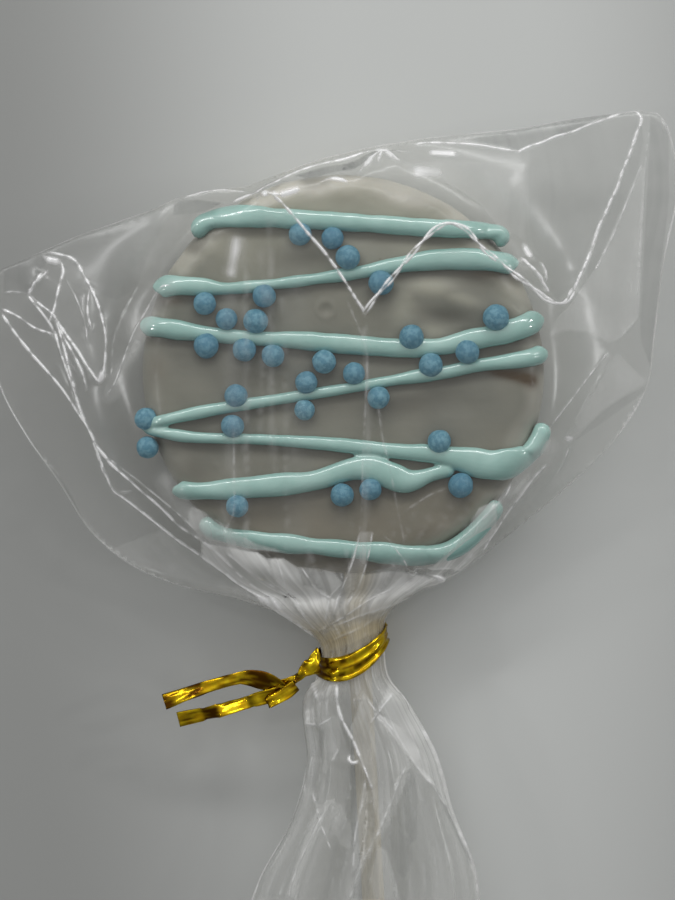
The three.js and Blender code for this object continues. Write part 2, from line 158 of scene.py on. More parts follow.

# The creases of the front film, with the painted glints and sheens laid like creases, by the photograph's
# pixels.
CREASES = {
    "peak left": (SHARP, [(262, 197.5), (272, 196.5), (279.5, 202), (289, 212), (298.6, 223), (310, 237),
        (321.6, 250), (333, 265), (342.6, 279), (352, 294), (364.6, 313)]),
    "peak middle": (TWINED, [(364.6, 313), (377, 296), (392, 279), (405.7, 261.6), (421, 244), (434, 231),
        (446, 225), (455.5, 226), (465, 231), (473, 239), (484, 252), (500, 264), (512, 275), (528, 287),
        (543, 299), (557, 304), (566, 301), (573.5, 290)]),
    "peak right": (SHARP, [(573.5, 290), (581, 273), (587, 261), (593, 245.5), (599.5, 227), (607, 212),
        (613, 198), (619, 186), (624, 170), (629, 158), (633, 147.5), (638, 132), (643, 118),
        (638, 109.5)]),
    "peak double": (SHARP, [(521, 259), (531, 271.5), (547.5, 294)]),
    "left loop": (BRIGHT, [(46.8, 251), (59, 253.6), (69.6, 257), (76.8, 264), (84, 277), (91, 287.5),
        (100, 307), (107, 334), (107, 357), (105.4, 371), (101, 384)]),
    "left inner": (BRIGHT, [(89.3, 289), (88.4, 311), (92, 328)]),
    "left hook": (BRIGHT, [(59, 261), (61.6, 271), (58, 286), (53.6, 307), (48.2, 321)]),
    "left spark": (SHARP, [(44.6, 270.5), (35, 281), (26, 293)]),
    "left tip": (SOFT, [(0, 292), (10.7, 290.7), (26, 293)]),
    "left fan high": (BRIGHT, [(26, 293), (37.5, 303), (52, 314), (59, 325), (78.6, 350), (89, 366),
        (101, 384)]),
    "left fan low": (BRIGHT, [(26, 294.6), (47, 321), (52, 330)]),
    "left shelf": (BRIGHT, [(0, 308), (16, 316), (34, 328), (50, 333)]),
    "left bundle": (SHARP, [(53.6, 332), (60.7, 352), (68, 370), (75, 389), (80.4, 405), (85.7, 418),
        (94.6, 437.5), (107, 477)]),
    "left long": (SHARP, [(0, 314), (14, 334), (30, 354), (46, 371), (64, 391), (78.6, 411), (89, 425),
        (100, 445), (114, 462.5), (132, 479)]),
    "left bundle inner": (BRIGHT, [(54, 318), (60, 334), (66, 352), (71, 370), (76, 388)]),
    "left web": (BRIGHT, [(58, 326), (66, 340), (76, 356), (84, 372), (87, 386)]),
    "left web low": (FAINT, [(62, 352), (74, 366), (84, 378)]),
    "left blob": (GLINT, [(44, 257), (50, 259), (57, 260)]),
    "left blob low": (GLINT, [(99, 382), (103, 378), (104, 372)]),
    "left dash": (SHARP, [(40, 272), (35, 279), (30, 287)]),
    "left back": (SOFT, [(66, 280), (78.6, 304), (85.7, 325), (87.5, 343)]),
    "leaf": (SOFT, [(171, 286), (161, 289), (148, 311), (136, 332), (125, 361), (116, 384), (107, 396)]),
    "leaf branch": (FAINT, [(139, 286), (125, 311), (116, 339), (112, 375)]),
    "top arc": (SOFT, [(180, 196.5), (199, 192), (222, 189), (253, 193)]),
    "top slope": (BRIGHT, [(232, 202), (255, 194), (272, 187), (287, 177), (310, 166), (343, 158),
        (364, 152), (384, 148)]),
    "star tip": (GLINT, [(376, 149), (382, 148.5), (389, 150)]),
    "star drop": (SHARP, [(384, 150), (383, 157), (379, 167)]),
    "star left": (SHARP, [(383, 151), (375, 160), (368, 167), (360, 174)]),
    "star left wide": (GLINT, [(374, 160), (370, 164), (366, 169)]),
    "star right": (SHARP, [(386, 152), (392, 159), (400, 167)]),
    "star right wide": (GLINT, [(388, 157), (391, 160), (394, 163)]),
    "star inner": (SOFT, [(384, 151), (396, 153), (412, 152)]),
    "rim gleam": (GLINT, [(280, 197), (290, 194), (300, 190.5)]),
    "rim line": (BRIGHT, [(258, 200), (270, 197), (284, 196)]),
    "rim dash": (BRIGHT, [(322, 183), (334, 181.5), (347, 183)]),
    "top dash": (BRIGHT, [(417, 141.5), (434, 141), (457, 142), (480, 143.5), (500, 147), (519, 150)]),
    "top right rise": (BRIGHT, [(519, 150.5), (526, 147), (534, 143.5), (543, 141), (558, 134.5),
        (572, 131), (589, 124), (607, 118), (621, 112)]),
    "wing line": (FAINT, [(651, 123), (647, 161), (645, 192), (642, 238), (638, 314)]),
    "wing slant": (SOFT, [(644, 161), (626, 207), (612, 239), (595, 270)]),
    "wing low": (FAINT, [(639, 319), (630, 328), (622, 336)]),
    "lower left bright": (SHARP, [(97, 440), (104, 462), (113, 488), (127, 499), (158, 522), (182, 540),
        (203, 554), (227, 571), (248, 587), (268, 603)]),
    "lower left long": (BRIGHT, [(99, 444), (115, 462), (138, 485), (162, 505), (182, 524), (201, 537),
        (223, 554), (244, 573), (264, 591), (284.5, 609), (305, 626), (315, 638)]),
    "lower left inner": (SOFT, [(111, 456), (142, 481), (174, 507), (199, 530)]),
    "lower left short": (FAINT, [(104, 462), (115, 489), (135.5, 490)]),
    "gather a": (SOFT, [(227, 550), (256, 571), (280, 587), (301, 609), (317, 630)]),
    "gather b": (SOFT, [(276, 558), (286.5, 583), (301, 607), (317, 630)]),
    "gather c": (SOFT, [(301, 566.5), (315, 585), (331, 599)]),
    "gather d": (SOFT, [(340, 571), (342, 581), (331, 595), (325, 620)]),
    "gather e": (SOFT, [(360, 532), (352, 562), (340, 591), (333.5, 615.5)]),
    "gather f": (SOFT, [(318, 632), (334, 622), (362, 604), (386, 591), (405, 579)]),
    "gather g": (SOFT, [(330, 628), (362, 614), (395, 603), (430, 590), (463, 572)]),
    "gather h": (FAINT, [(322, 652), (335, 640), (360, 628), (386, 610)]),
    "gather i": (SOFT, [(372, 532), (368, 556), (358, 586), (346, 606)]),
    "gather j": (FAINT, [(324, 650), (326, 630), (336, 606), (345, 582)]),
    "gather k": (BRIGHT, [(228, 573), (250, 589), (284, 611), (308, 630), (316, 645)]),
    "lower streak": (SOFT, [(609, 352), (592, 372), (572, 396), (553, 420), (545, 436)]),
    "lower streak beside": (FAINT, [(616, 356), (600, 378), (585, 402), (572, 425), (560, 442)]),
    "lower right dark": (SOFT, [(568, 441), (567, 450), (558, 474)]),
    "lower right a": (BRIGHT, [(548, 462), (534, 475), (520, 492), (506, 510), (492, 535), (484, 551)]),
    "lower right b": (SOFT, [(510.5, 483.5), (503.5, 496), (489, 510), (477, 523), (474, 533)]),
    "low dash left": (SHARP, [(408, 572), (411, 572), (415, 572)]),
    "low dash right": (SHARP, [(428, 575), (436, 576), (446, 580)]),
    "low line": (SOFT, [(405, 561), (407, 568), (425, 567), (450, 568), (463, 570.5)]),
    "low rim": (SOFT, [(473, 555), (464, 563.5), (450, 575)]),
    "low cross": (FAINT, [(444.5, 489), (429, 495), (414, 504.5), (402.5, 513)]),
    "low fan": (SOFT, [(386, 537), (394, 547), (402.5, 558), (407, 566)]),
    "lap left": (FAINT, [(347, 302), (363, 340), (367, 360), (365, 409), (362.5, 464), (362, 503),
        (359, 535)]),
    "lap right": (FAINT, [(378, 407), (382, 437), (388, 461.5), (394, 492), (398, 513), (404, 541)]),
    "upright": (FAINT, [(234, 428), (234.5, 470), (234.5, 509), (230, 522), (223, 536)]),
    "skirt main": (SHARP, [(337, 684), (338.5, 708), (344, 724), (354, 743), (362, 764), (368, 776),
        (373, 788)]),
    "skirt short": (SHARP, [(314, 684), (317, 694), (320, 703)]),
    "skirt tick": (SOFT, [(340, 749), (336, 757), (333, 764)]),
    "skirt root": (SOFT, [(393.5, 693.5), (378, 713), (370, 724)]),
    "skirt spark": (BRIGHT, [(400, 693), (403, 700), (411, 708)]),
    "skirt flap": (SOFT, [(365, 698), (378, 714), (393.5, 732), (409, 756), (433, 791), (457, 827),
        (475, 867), (480, 899)]),
    "skirt fold": (SOFT, [(406, 768), (393.5, 795.5), (378, 835), (362, 867), (349, 899)]),
    "skirt stick": (SOFT, [(365, 781), (362, 803.5), (355, 835), (352, 875)]),
    "skirt inner a": (SOFT, [(312, 794), (317, 810), (325, 832), (331, 851)]),
    "skirt inner b": (SOFT, [(334.5, 800), (314, 835), (298, 867), (288, 899)]),
    "skirt tube": (SOFT, [(301, 689), (301, 708), (306, 756), (307, 795.5)]),
    "skirt flare": (SOFT, [(307, 788), (290, 819), (271, 851), (253, 899)]),
    "skirt hook": (SOFT, [(307, 724), (319, 726), (334.5, 717)]),
    "skirt ring": (SHARP, [(349, 757), (350, 762), (354, 764), (358, 761)]),
    "skirt glint": (GLINT, [(425, 735), (427, 737), (429, 739)]),
    "top glint": (GLEAM, [(412, 173), (427, 174), (442, 175)]),
    "top warm": (GLINT, [(430, 152), (443, 152.5), (456, 153)]),
    "right blob": (GLINT, [(524, 246), (527, 252), (530, 258)]),
    "right stroke": (SHARP, [(537.5, 262), (541, 271), (543.6, 282)]),
    "right spark": (GLINT, [(566, 437.5), (568, 438), (570, 438)]),
    "low spark": (GLINT, [(436, 577), (440, 578), (445, 580)]),
    "streak": (GLEAM, [(237, 236), (236, 250), (233, 266), (231, 279)]),
}

# Where the film looks milky, being creased or lying in several layers: pixels, half width and strength.
VEILS = {
    "leaf": ([(168, 288), (150, 318), (132, 352), (112, 392)], 1.3, 0.35),
    "lower left": ([(166, 480), (180, 505), (200, 532)], 1.4, 0.3),
    "lower right": ([(548, 446), (520, 486), (498, 512)], 1.8, 0.4),
    "band": ([(170, 209), (156, 240), (143, 271)], 3.0, 0.14),
    "upright": ([(232, 300), (234, 420), (228, 540)], 1.6, 0.1),
    "upright fine": ([(245, 240), (247, 420), (246, 560)], 0.4, 0.18),
    "inner": ([(272, 220), (270, 330), (274, 470)], 0.5, 0.16),
    "inner fine": ([(262, 250), (264, 330), (260, 430)], 0.25, 0.14),
    "inner far": ([(283, 300), (286, 420), (288, 540)], 0.3, 0.14),
    "inner wide": ([(292, 240), (296, 420), (300, 560)], 2.6, 0.05),
    "lap": ([(364, 330), (368, 430), (362, 560)], 0.4, 0.18),
    "top": ([(400, 170), (455, 172), (520, 190)], 5.0, 0.05),
}

# The film's flat places between its folds: how much milky haze and painted light each has, haze where the
# film lies in layers and painted light where it mirrors the light, or how much painted shade and dark
# reflection if less than nothing; and its corners by the photograph's pixels.
PAINTED_FACETS = {
    "gather sheet": (0.6, [(203, 540), (224, 545), (241, 549), (258, 552), (268, 559), (276, 578),
        (290, 600), (304, 617), (317, 632), (300, 623), (284, 612), (268, 602), (250, 590), (228, 573),
        (203, 556)]),
    "gather middle": (0.62, [(268, 558), (284, 558), (296, 566), (304, 583), (316, 585), (326, 590),
        (335, 600), (332, 612), (326, 628), (317, 632), (304, 617), (290, 600), (276, 578)]),
    "gather tongue": (0.28, [(296, 566), (318, 568), (333, 571), (342, 580), (338, 592), (335, 600),
        (326, 590), (316, 585), (304, 583)]),
    "gather centre": (0.1, [(342, 580), (350, 572), (362, 574), (358, 586), (348, 598), (336, 612),
        (330, 622), (326, 628), (332, 612), (335, 600), (338, 592)]),
    "stick shade": (-0.3, [(352, 700), (368, 700), (373, 775), (380, 899), (352, 899), (350, 775)]),
    "gather upright": (0.2, [(359, 532), (372, 531), (368, 555), (360, 580), (350, 598), (338, 614),
        (331, 622), (333, 608), (340, 590), (347, 570), (353, 550)]),
    "gather right": (0.5, [(362, 574), (385, 571), (405, 571), (398, 582), (380, 592), (362, 603),
        (345, 613), (334, 624), (336, 612), (348, 598), (358, 586)]),
    "gather right sheet": (0.68, [(405, 572), (418, 575), (438, 579), (463, 571), (446, 583), (420, 594),
        (395, 605), (388, 608), (360, 617), (336, 628), (334, 624), (362, 603), (384, 591)]),
    "gather low": (0.4, [(388, 608), (387, 618), (383, 630), (360, 640), (345, 648), (330, 652),
        (322, 650), (320, 636), (336, 628), (360, 617)]),
    "rim right": (0.5, [(494, 500), (496, 530), (480, 552), (464, 572), (444, 568), (426, 567), (440, 558),
        (455, 545), (466, 529), (478, 508)]),
    "rim left": (0.26, [(190, 505), (202, 510), (216, 519), (236, 532), (256, 543), (284, 551), (256, 550),
        (238, 549), (220, 544), (203, 538), (190, 522)]),
    "wing low": (0.12, [(165, 528), (203, 556), (228, 573), (250, 590), (268, 603), (284, 612), (260, 612),
        (213, 602), (174, 594), (152, 586), (121, 570), (101, 553)]),
    "tube left top": (0.14, [(301, 682), (322, 682), (324, 700), (320, 722), (308, 724), (303, 705)]),
    "tube left band": (-0.12, [(304, 725), (318, 726), (316, 750), (312, 790), (308, 792)]),
    "tube left dark": (-0.25, [(320, 728), (326, 730), (322, 760), (314, 792), (312, 788), (317, 755)]),
    "tube middle": (0.15, [(325, 722), (340, 716), (341, 745), (334, 766), (322, 775), (325, 745)]),
    "skirt sheet": (0.24, [(364, 690), (372, 705), (378, 716), (392, 732), (406, 754), (412, 768),
        (404, 774), (397, 788), (388, 812), (380, 828), (373, 800), (372, 786), (366, 772), (356, 748),
        (350, 728), (356, 715)]),
    "wedge": (0.65, [(378, 716), (386, 718), (400, 728), (411, 740), (418, 752), (421, 768), (432, 785),
        (437, 792), (424, 780), (408, 757), (392, 735)]),
    "flap": (0.38, [(390, 682), (402, 690), (412, 708), (424, 728), (434, 742), (439, 758), (446, 785),
        (456, 815), (466, 842), (474, 862), (460, 838), (446, 810), (437, 792), (421, 768), (418, 752),
        (411, 740), (400, 728), (386, 718), (378, 708), (384, 695)]),
    "flap edge": (-0.3, [(436, 797), (440, 800), (458, 830), (474, 858), (476, 868), (466, 856),
        (450, 826)]),
    "fold dark": (-0.22, [(408, 768), (414, 772), (418, 800), (417, 840), (412, 845), (406, 830),
        (403, 800)]),
    "fold dark low": (-0.15, [(388, 834), (400, 830), (412, 842), (414, 860), (405, 880), (396, 870)]),
    "diagonal": (0.2, [(406, 769), (410, 776), (402, 795), (392, 818), (378, 842), (368, 862), (358, 885),
        (352, 899), (345, 899), (352, 880), (362, 860), (374, 835), (386, 812), (396, 790)]),
    "stick side": (0.25, [(364, 780), (367, 790), (364, 820), (360, 850), (357, 868), (352, 872),
        (354, 840), (358, 810)]),
    "stick right": (0.22, [(378, 845), (386, 850), (394, 875), (400, 899), (376, 899), (370, 880)]),
    "skirt left": (0.2, [(308, 825), (322, 805), (332, 800), (328, 815), (318, 838), (308, 862),
        (298, 885), (294, 899), (284, 899), (294, 872), (302, 848)]),
    "skirt wing": (-0.06, [(306, 794), (308, 825), (302, 848), (290, 880), (284, 899), (253, 899),
        (271, 851), (290, 819)]),
    "skirt middle": (0.15, [(333, 800), (342, 806), (352, 830), (350, 850), (340, 845), (332, 825)]),
    "right facet": (0.2, [(641, 165), (646, 166), (644, 240), (641, 316), (622, 338), (611, 342),
        (590, 332), (566, 330), (548, 338), (556, 318), (572, 302), (583, 286), (597, 266), (618, 220)]),
    "right wedge": (-0.1, [(643, 120), (645, 140), (640, 167), (618, 220), (597, 266), (588, 278),
        (585, 268), (600, 232), (615, 195), (630, 155)]),
    "right strip": (-0.14, [(652, 114), (660, 120), (670, 130), (671, 195), (666, 240), (660, 290),
        (656, 330), (653, 366), (643, 340), (642, 316), (646, 240), (650, 165)]),
    "top inner": (-0.07, [(531, 150), (545, 141), (590, 124), (622, 113), (640, 114), (641, 122),
        (630, 152), (612, 193), (597, 228), (583, 262), (572, 285), (556, 300), (548, 290), (540, 270),
        (530, 230), (528, 180)]),
    "corner light": (0.16, [(620, 352), (638, 371), (650, 380), (640, 388), (610, 405), (585, 428),
        (568, 440), (580, 412), (598, 386)]),
    "corner dark": (-0.12, [(650, 384), (648, 390), (636, 400), (600, 425), (575, 440), (590, 422),
        (620, 400)]),
    "star shadow": (-0.5, [(296, 176), (318, 168), (342, 164), (360, 159), (379, 150), (374, 159),
        (362, 167), (345, 171), (326, 176), (306, 180)]),
    "rise": (-0.25, [(455, 139), (500, 131), (560, 118), (615, 109), (622, 111), (589, 123), (545, 140),
        (530, 145), (519, 149), (495, 145), (470, 141)]),
    "corner left": (-0.3, [(172, 204), (178, 199), (196, 199), (222, 203), (205, 212), (190, 213),
        (172, 213)]),
    "top milky": (0.1, [(400, 165), (440, 160), (525, 163), (528, 200), (524, 240), (500, 230), (478, 205),
        (455, 190), (430, 178), (412, 178)]),
    "left corner": (-0.16, [(1, 269), (30, 256), (45, 249), (47, 256), (36, 274), (27, 292), (12, 290),
        (1, 291)]),
    "left crumple": (0.08, [(46, 252), (66, 256), (82, 272), (100, 307), (107, 335), (106, 370),
        (100, 384), (80, 352), (60, 326), (50, 320), (56, 300), (60, 270)]),
    "left upper": (-0.07, [(48, 248), (100, 226), (150, 207), (166, 203), (160, 225), (148, 255),
        (136, 290), (118, 300), (100, 295), (84, 272), (66, 256)]),
}
FACET_BLUR = 0.22

# The twist tie's strips, along their middle: pixels, height, width, how far the foil is rolled over and
# how much painted shade and dark reflection darkens its gold.
ROOT = [(320, 668, 13.2, 2.0, 20, 0.9), (311, 670, 13.2, 1.9, -20, 0.5), (303, 674.5, 12.6, 1.5, 40, 0.3),
    (296, 679, 12.0, 1.5, -30, 0.9), (289, 683, 11.6, 1.8, 20, 0.2), (276, 689, 11.2, 2.6, 0, 0.6)]
KNOT = [(300, 676, 13.2, 0.8, 0, 0.5), (303, 671, 13.7, 2.0, 30, 0), (309, 667, 14.3, 2.8, -20, 0),
    (313, 662, 14.3, 2.4, 25, 0.2), (316, 655, 13.8, 1.6, -10, 0.5), (317, 648, 13.2, 0.25, 0, 0.4)]
UPPER_TAIL = [(284, 690, 11.2, 2.4, 50, 0.6), (274, 685, 11.8, 3.0, 30, 0.9), (262, 681, 12.4, 3.3, 12, 1),
    (250, 678.5, 12.5, 2.9, 5, 1), (241, 678.5, 12.1, 2.3, -5, 0.7), (236, 679.5, 11.9, 2.1, 0, 0.3),
    (222, 683, 11.4, 2.1, -16, 0.45), (206, 688, 10.9, 2.2, -12, 0.3), (198, 691, 10.7, 2.4, -22, 0.9),
    (182, 696.5, 10.2, 2.7, -30, 0.65), (163, 703.5, 9.8, 2.9, -18, 0.8)]
LOWER_TAIL = [(284, 692, 11.0, 2.0, 10, 0.7), (272, 696, 11.2, 2.6, 25, 0.8),
    (258, 700, 11.2, 2.5, 5, 0.1), (250, 702.5, 11.0, 2.3, 25, 0.6), (245, 704, 10.8, 2.3, -24, 0),
    (232, 708, 10.4, 2.6, -29, 0), (221, 711.5, 10.1, 2.5, -27, 0), (214, 713, 9.9, 2.5, 20, 1),
    (204, 715.5, 9.6, 2.5, 32, 1), (200, 716.5, 9.5, 2.5, 10, 0.4), (188, 719, 9.2, 2.6, 6, 0.45),
    (177, 721.5, 8.9, 2.7, 4, 0.45)]
FLAG = [(296, 686, 12.6, 2.0, 10, 0.6), (288, 692, 12.7, 2.3, -10, 0.45), (280, 697, 12.4, 2.3, -20, 0.3),
    (271, 702, 11.8, 2.2, -15, 0.4), (267, 704.5, 11.5, 1.9, -15, 0.9)]

# Painted light and shade on the coating: lighter spots and highlights where the crest, the upper left and
# the top rim catch the light, darker spots in hollows and below the drizzle and pearls, and darker,
# browner shade
# just below strands. Each: pixels, half length, half width, its turn in degrees and strength.
PAINTED_LIGHT_SPOTS = [(428, 287, 4.2, 2.2, -10, 0.95), (404, 307, 2.2, 3.8, -20, 0.8),
    (430, 331, 2.8, 1.2, 0, 0.7), (460, 299, 3.6, 1.2, -15, 0.7), (515, 289, 3.2, 3.0, 0, 0.7),
    (430, 520, 8, 2, 0, 0.12), (216, 262, 5, 3.6, 45, 0.35), (350, 179, 6, 1.0, 0, 0.5)]
PAINTED_SHADE_SPOTS = [(446, 315, 4.2, 1.2, -12, 0.5), (478, 278, 4.6, 1.3, -12, 0.6), (470, 331, 2.4, 1.0, 0, 0.5),
    (303, 258, 6.0, 2.2, 0, 0.45), (245, 378, 5.5, 2.2, 0, 0.4), (412, 401, 9.0, 2.4, 6, 0.5),
    (505, 352, 5.5, 1.1, 5, 0.6), (276, 505, 7.5, 2.4, 8, 0.55), (190, 436, 5.0, 2.6, 0, 0.6),
    (330, 403, 5.0, 2.2, 0, 0.35), (195, 470, 3.0, 2.4, 0, 0.3), (180, 355, 2.0, 3.0, 0, 0.2)]
PAINTED_BROWN_SHADE_SPOTS = [(172, 300, 2.4, 0.8, 0, 0.5), (157, 366, 1.6, 2.6, 0, 0.3), (490, 274, 4.6, 0.8, -3, 0.5)]
SHADOW_SHIFT = (0.0, -0.9)
SHADOW_REACH = 1.5


FULL_TURN = 2 * math.pi
TINY = 1e-12


def smoothstep(value, low, high):
    share = np.clip((np.asarray(value, float) - low) / (high - low), 0, 1)
    return share * share * (3 - 2 * share)


def lerp(low, high, share):
    return low + (high - low) * share


def bell(distance, width):
    return np.exp(-((distance / width) ** 2))


def tent(place):
    """Straight slopes between -1 at whole numbers and 1 halfway between them."""
    return 1 - 2 * np.abs(2 * (place % 1) - 1)


def unit(vectors):
    return vectors / np.maximum(np.linalg.norm(vectors, axis=-1, keepdims=True), TINY)


def circle(sides):
    """The turns of a ring's points, their cosines and their sines."""
    turns = np.linspace(0, FULL_TURN, sides, endpoint=False)
    return turns, np.cos(turns), np.sin(turns)


def ripple(x, y, length, seed, waves=9):
    """Smooth unevenness between about -1 and 1, with swells about that many millimetres long."""
    draw = np.random.default_rng(seed)
    total = 0
    for _ in range(waves):
        turn, phase = draw.uniform(0, FULL_TURN, 2)
        pitch = length * draw.uniform(0.7, 1.6)
        total = total + np.sin(FULL_TURN * (x * math.cos(turn) + y * math.sin(turn)) / pitch + phase)
    return total / math.sqrt(waves)


def swells(x, y, rows):
    """Several ripples on each other, each by its height, length and seed."""
    return sum(height * ripple(x, y, length, seed) for height, length, seed in rows)


def smooth_line(points, at):
    """Points of a smooth curve through the given ones, at shares between 0 and 1 of their count."""
    points = np.asarray(points, float)
    padded = np.vstack((2 * points[0] - points[1], points, 2 * points[-1] - points[-2]))
    place = np.clip(np.asarray(at, float), 0, 1) * (len(points) - 1)
    start = np.minimum(place.astype(int), len(points) - 2)
    share = (place - start)[:, None]
    a, b, c, d = (padded[start + i] for i in range(4))
    curve = 2 * b + (c - a) * share + (2 * a - 5 * b + 4 * c - d) * share**2
    return 0.5 * (curve + (3 * b - a - 3 * c + d) * share**3)


def even_line(points, step, plan=2):
    """Points of the smooth curve about a step apart, measured over its first few coordinates."""
    fine = smooth_line(points, np.linspace(0, 1, 24 * len(points)))
    gone = np.concatenate(([0], np.cumsum(np.linalg.norm(np.diff(fine[:, :plan], axis=0), axis=1))))
    stations = np.linspace(0, gone[-1], max(int(gone[-1] / step) + 1, 3))
    return np.stack([np.interp(stations, gone, column) for column in fine.T], axis=1), stations


def from_photo(points):
    """Pixels of the photograph as millimetres on the pop's face; further columns are kept."""
    placed = np.array(points, float)
    right = (placed[:, 0] - PHOTO_MIDDLE[0]) * PHOTO_SCALE
    up = (PHOTO_MIDDLE[1] - placed[:, 1]) * PHOTO_SCALE
    cos, sin = math.cos(PHOTO_TURN), math.sin(PHOTO_TURN)
    placed[:, 0] = right * cos + up * sin
    placed[:, 1] = up * cos - right * sin
    return placed


def beside(line, x, y):
    """How far along a line each point lies, and how far to the left of it."""
    start = line[:-1]
    step = np.diff(line, axis=0)
    length = np.maximum(np.hypot(*step.T), 1e-9)
    gone = np.concatenate(([0], np.cumsum(length)))
    from_x = x[:, None] - start[:, 0]
    from_y = y[:, None] - start[:, 1]
    share = np.clip((from_x * step[:, 0] + from_y * step[:, 1]) / length**2, 0, 1)
    distance = np.hypot(from_x - share * step[:, 0], from_y - share * step[:, 1])
    nearest = distance.argmin(axis=1)
    rows = np.arange(len(x))
    left = step[nearest, 0] * from_y[rows, nearest] - step[nearest, 1] * from_x[rows, nearest]
    along = gone[nearest] + share[rows, nearest] * length[nearest]
    return along, np.where(left < 0, -1, 1) * distance[rows, nearest]


def in_box(line, margin, x, y):
    """Whether each point lies in the box round a line, or at most that far outside it."""
    low, high = line.min(axis=0) - margin, line.max(axis=0) + margin
    return (x > low[0]) & (x < high[0]) & (y > low[1]) & (y < high[1])


def ring_quads(here, on, flip=False):
    """Quads between each row of point numbers and the next, whose columns lead to those of on."""
    quads = np.stack((here[:-1], on[:-1], on[1:], here[1:]), axis=-1).reshape(-1, 4)
    return (quads[:, ::-1] if flip else quads).tolist()


def closed_body(rings, start, end, flip=False):
    """Points and faces of rings of points, closed to one point at each end."""
    count, sides = rings.shape[:2]
    here = np.arange(count * sides).reshape(count, sides)
    on = np.roll(here, -1, axis=1)
    first = np.full(sides, count * sides)
    fans = np.stack((first, on[0], here[0], first + 1, here[-1], on[-1]), axis=1).reshape(-1, 3)
    faces = ring_quads(here, on, flip) + (fans[:, ::-1] if flip else fans).tolist()
    return np.vstack((rings.reshape(-1, 3), start, end)), faces


def joined(bodies):
    """Bodies' points and faces as one body's, with whatever else each body has for its points."""
    points, faces, *others = zip(*bodies)
    starts = np.cumsum([0, *map(len, points)]).tolist()
    moved = [[corner + start for corner in face] for body, start in zip(faces, starts) for face in body]
    return np.vstack(points), moved, *map(np.concatenate, others)


def linked(name, data):
    """A new object of that data, in the scene."""
    piece = bpy.data.objects.new(name, data)
    bpy.context.scene.collection.objects.link(piece)
    return piece


def mesh_object(name, points, faces, material):
    """A new object from millimetres about the pop, put in its place in the frame."""
    mesh = bpy.data.meshes.new(name)
    mesh.from_pydata((np.asarray(points) * MM + ORIGIN).tolist(), [], faces)
    mesh.materials.append(material)
    mesh.shade_smooth()
    mesh.validate()
    return linked(name, mesh)


def with_modifiers(piece):
    """The piece with its modifiers' result as a plain mesh."""
    bpy.context.view_layer.update()
    evaluated = piece.evaluated_get(bpy.context.evaluated_depsgraph_get())
    mesh = bpy.data.meshes.new_from_object(evaluated)
    mesh.name = piece.name
    old = piece.data
    piece.modifiers.clear()
    piece.data = mesh
    bpy.data.meshes.remove(old)
    return piece


def store(piece, masks):
    """Keeps a value for every point of the piece under each name, for its material."""
    for name, values in masks.items():
        attribute = piece.data.attributes.new(name, "FLOAT", "POINT")
        attribute.data.foreach_set("value", np.asarray(values).astype(np.float32))


def declare(piece, slot, *nodes):
    """Moves the piece with the frame's body and hides the nodes that it stands for. Its slot is not used.
    """
    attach(piece, BODY)
    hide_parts(*nodes)


# Materials

SOCKETS = {float: "NodeSocketFloat", int: "NodeSocketInt"}
PLACE = "NodeSocketVector"
SHAPE = "NodeSocketGeometry"
NOISE_INPUTS = {"Vector": PLACE, "Per Metre": 200.0, "Detail": 3.0}


def add_node(tree, kind, inputs=None, **settings):
    """A new node; an input given as a socket is linked, and any other is set."""
    node = tree.nodes.new(kind)
    for name, value in settings.items():
        setattr(node, name, value)
    for name, value in (inputs or {}).items():
        if isinstance(value, bpy.types.NodeSocket):
            tree.links.new(value, node.inputs[name])
        else:
            node.inputs[name].default_value = value
    return node


def output(tree, kind, inputs=None, **settings):
    """The first output of a new node that is in use."""
    node = add_node(tree, kind, inputs, **settings)
    return next(socket for socket in node.outputs if socket.enabled)


def new_group(name, kind, inputs, outputs):
    """A node group with named sockets, by their default or their kind: its inner sockets too."""
    group = bpy.data.node_groups.new(name, kind)
    for label, value in inputs.items():
        socket_kind = SOCKETS.get(type(value), value)
        socket = group.interface.new_socket(label, in_out="INPUT", socket_type=socket_kind)
        if socket_kind != value:
            socket.default_value = value
    for label, socket_kind in outputs.items():
        group.interface.new_socket(label, in_out="OUTPUT", socket_type=socket_kind)
    return group, group.nodes.new("NodeGroupInput").outputs, group.nodes.new("NodeGroupOutput").inputs


def noise_group(name, inputs, outputs, kind, noise_into, inputs_into, **settings):
    """A shader group that leads noise at a place into one more node, with further inputs of its own."""
    group, given, result = new_group(name, "ShaderNodeTree", {**NOISE_INPUTS, **inputs}, outputs)
    noise = {"Vector": given["Vector"], "Scale": given["Per Metre"], "Detail": given["Detail"]}
    into = {noise_into: output(group, "ShaderNodeTexNoise", noise)}
    into.update({socket: given[label] for socket, label in inputs_into.items()})
    group.links.new(output(group, kind, into, **settings), result[0])
    return group


def mottle_group(name):
    """Soft clouds of a given size, as a mask from 0 to 1."""
    return noise_group(
        name, {"Low": 0.35, "High": 0.65}, {"Mask": "NodeSocketFloat"}, "ShaderNodeMapRange", "Value",
        {"From Min": "Low", "From Max": "High"}, interpolation_type="SMOOTHSTEP",
    )


def relief_group(name):
    """A bumpy normal from noise of a given size, depth and detail."""
    return noise_group(
        name, {"Depth": 0.0001}, {"Normal": PLACE}, "ShaderNodeBump", "Height", {"Distance": "Depth"}
    )


def place_group(tree, name, build, place, size, values):
    """The output of a shader group, which is built once, for noise of that size in millimetres."""
    group = bpy.data.node_groups.get(name) or build(name)
    inputs = {"Vector": place, "Per Metre": 1 / (size * MM), **values}
    return output(tree, "ShaderNodeGroup", inputs, node_tree=group)


def mottle(tree, place, size, detail=3.0, low=0.35, high=0.65):
    """A mask of clouds about that many millimetres across."""
    values = {"Detail": detail, "Low": low, "High": high}
    return place_group(tree, "soft mottle", mottle_group, place, size, values)


def relief(tree, place, size, depth, detail=3.0):
    """A normal with bumps of that size and depth in millimetres."""
    values = {"Detail": detail, "Depth": depth * MM}
    return place_group(tree, "fine relief", relief_group, place, size, values)


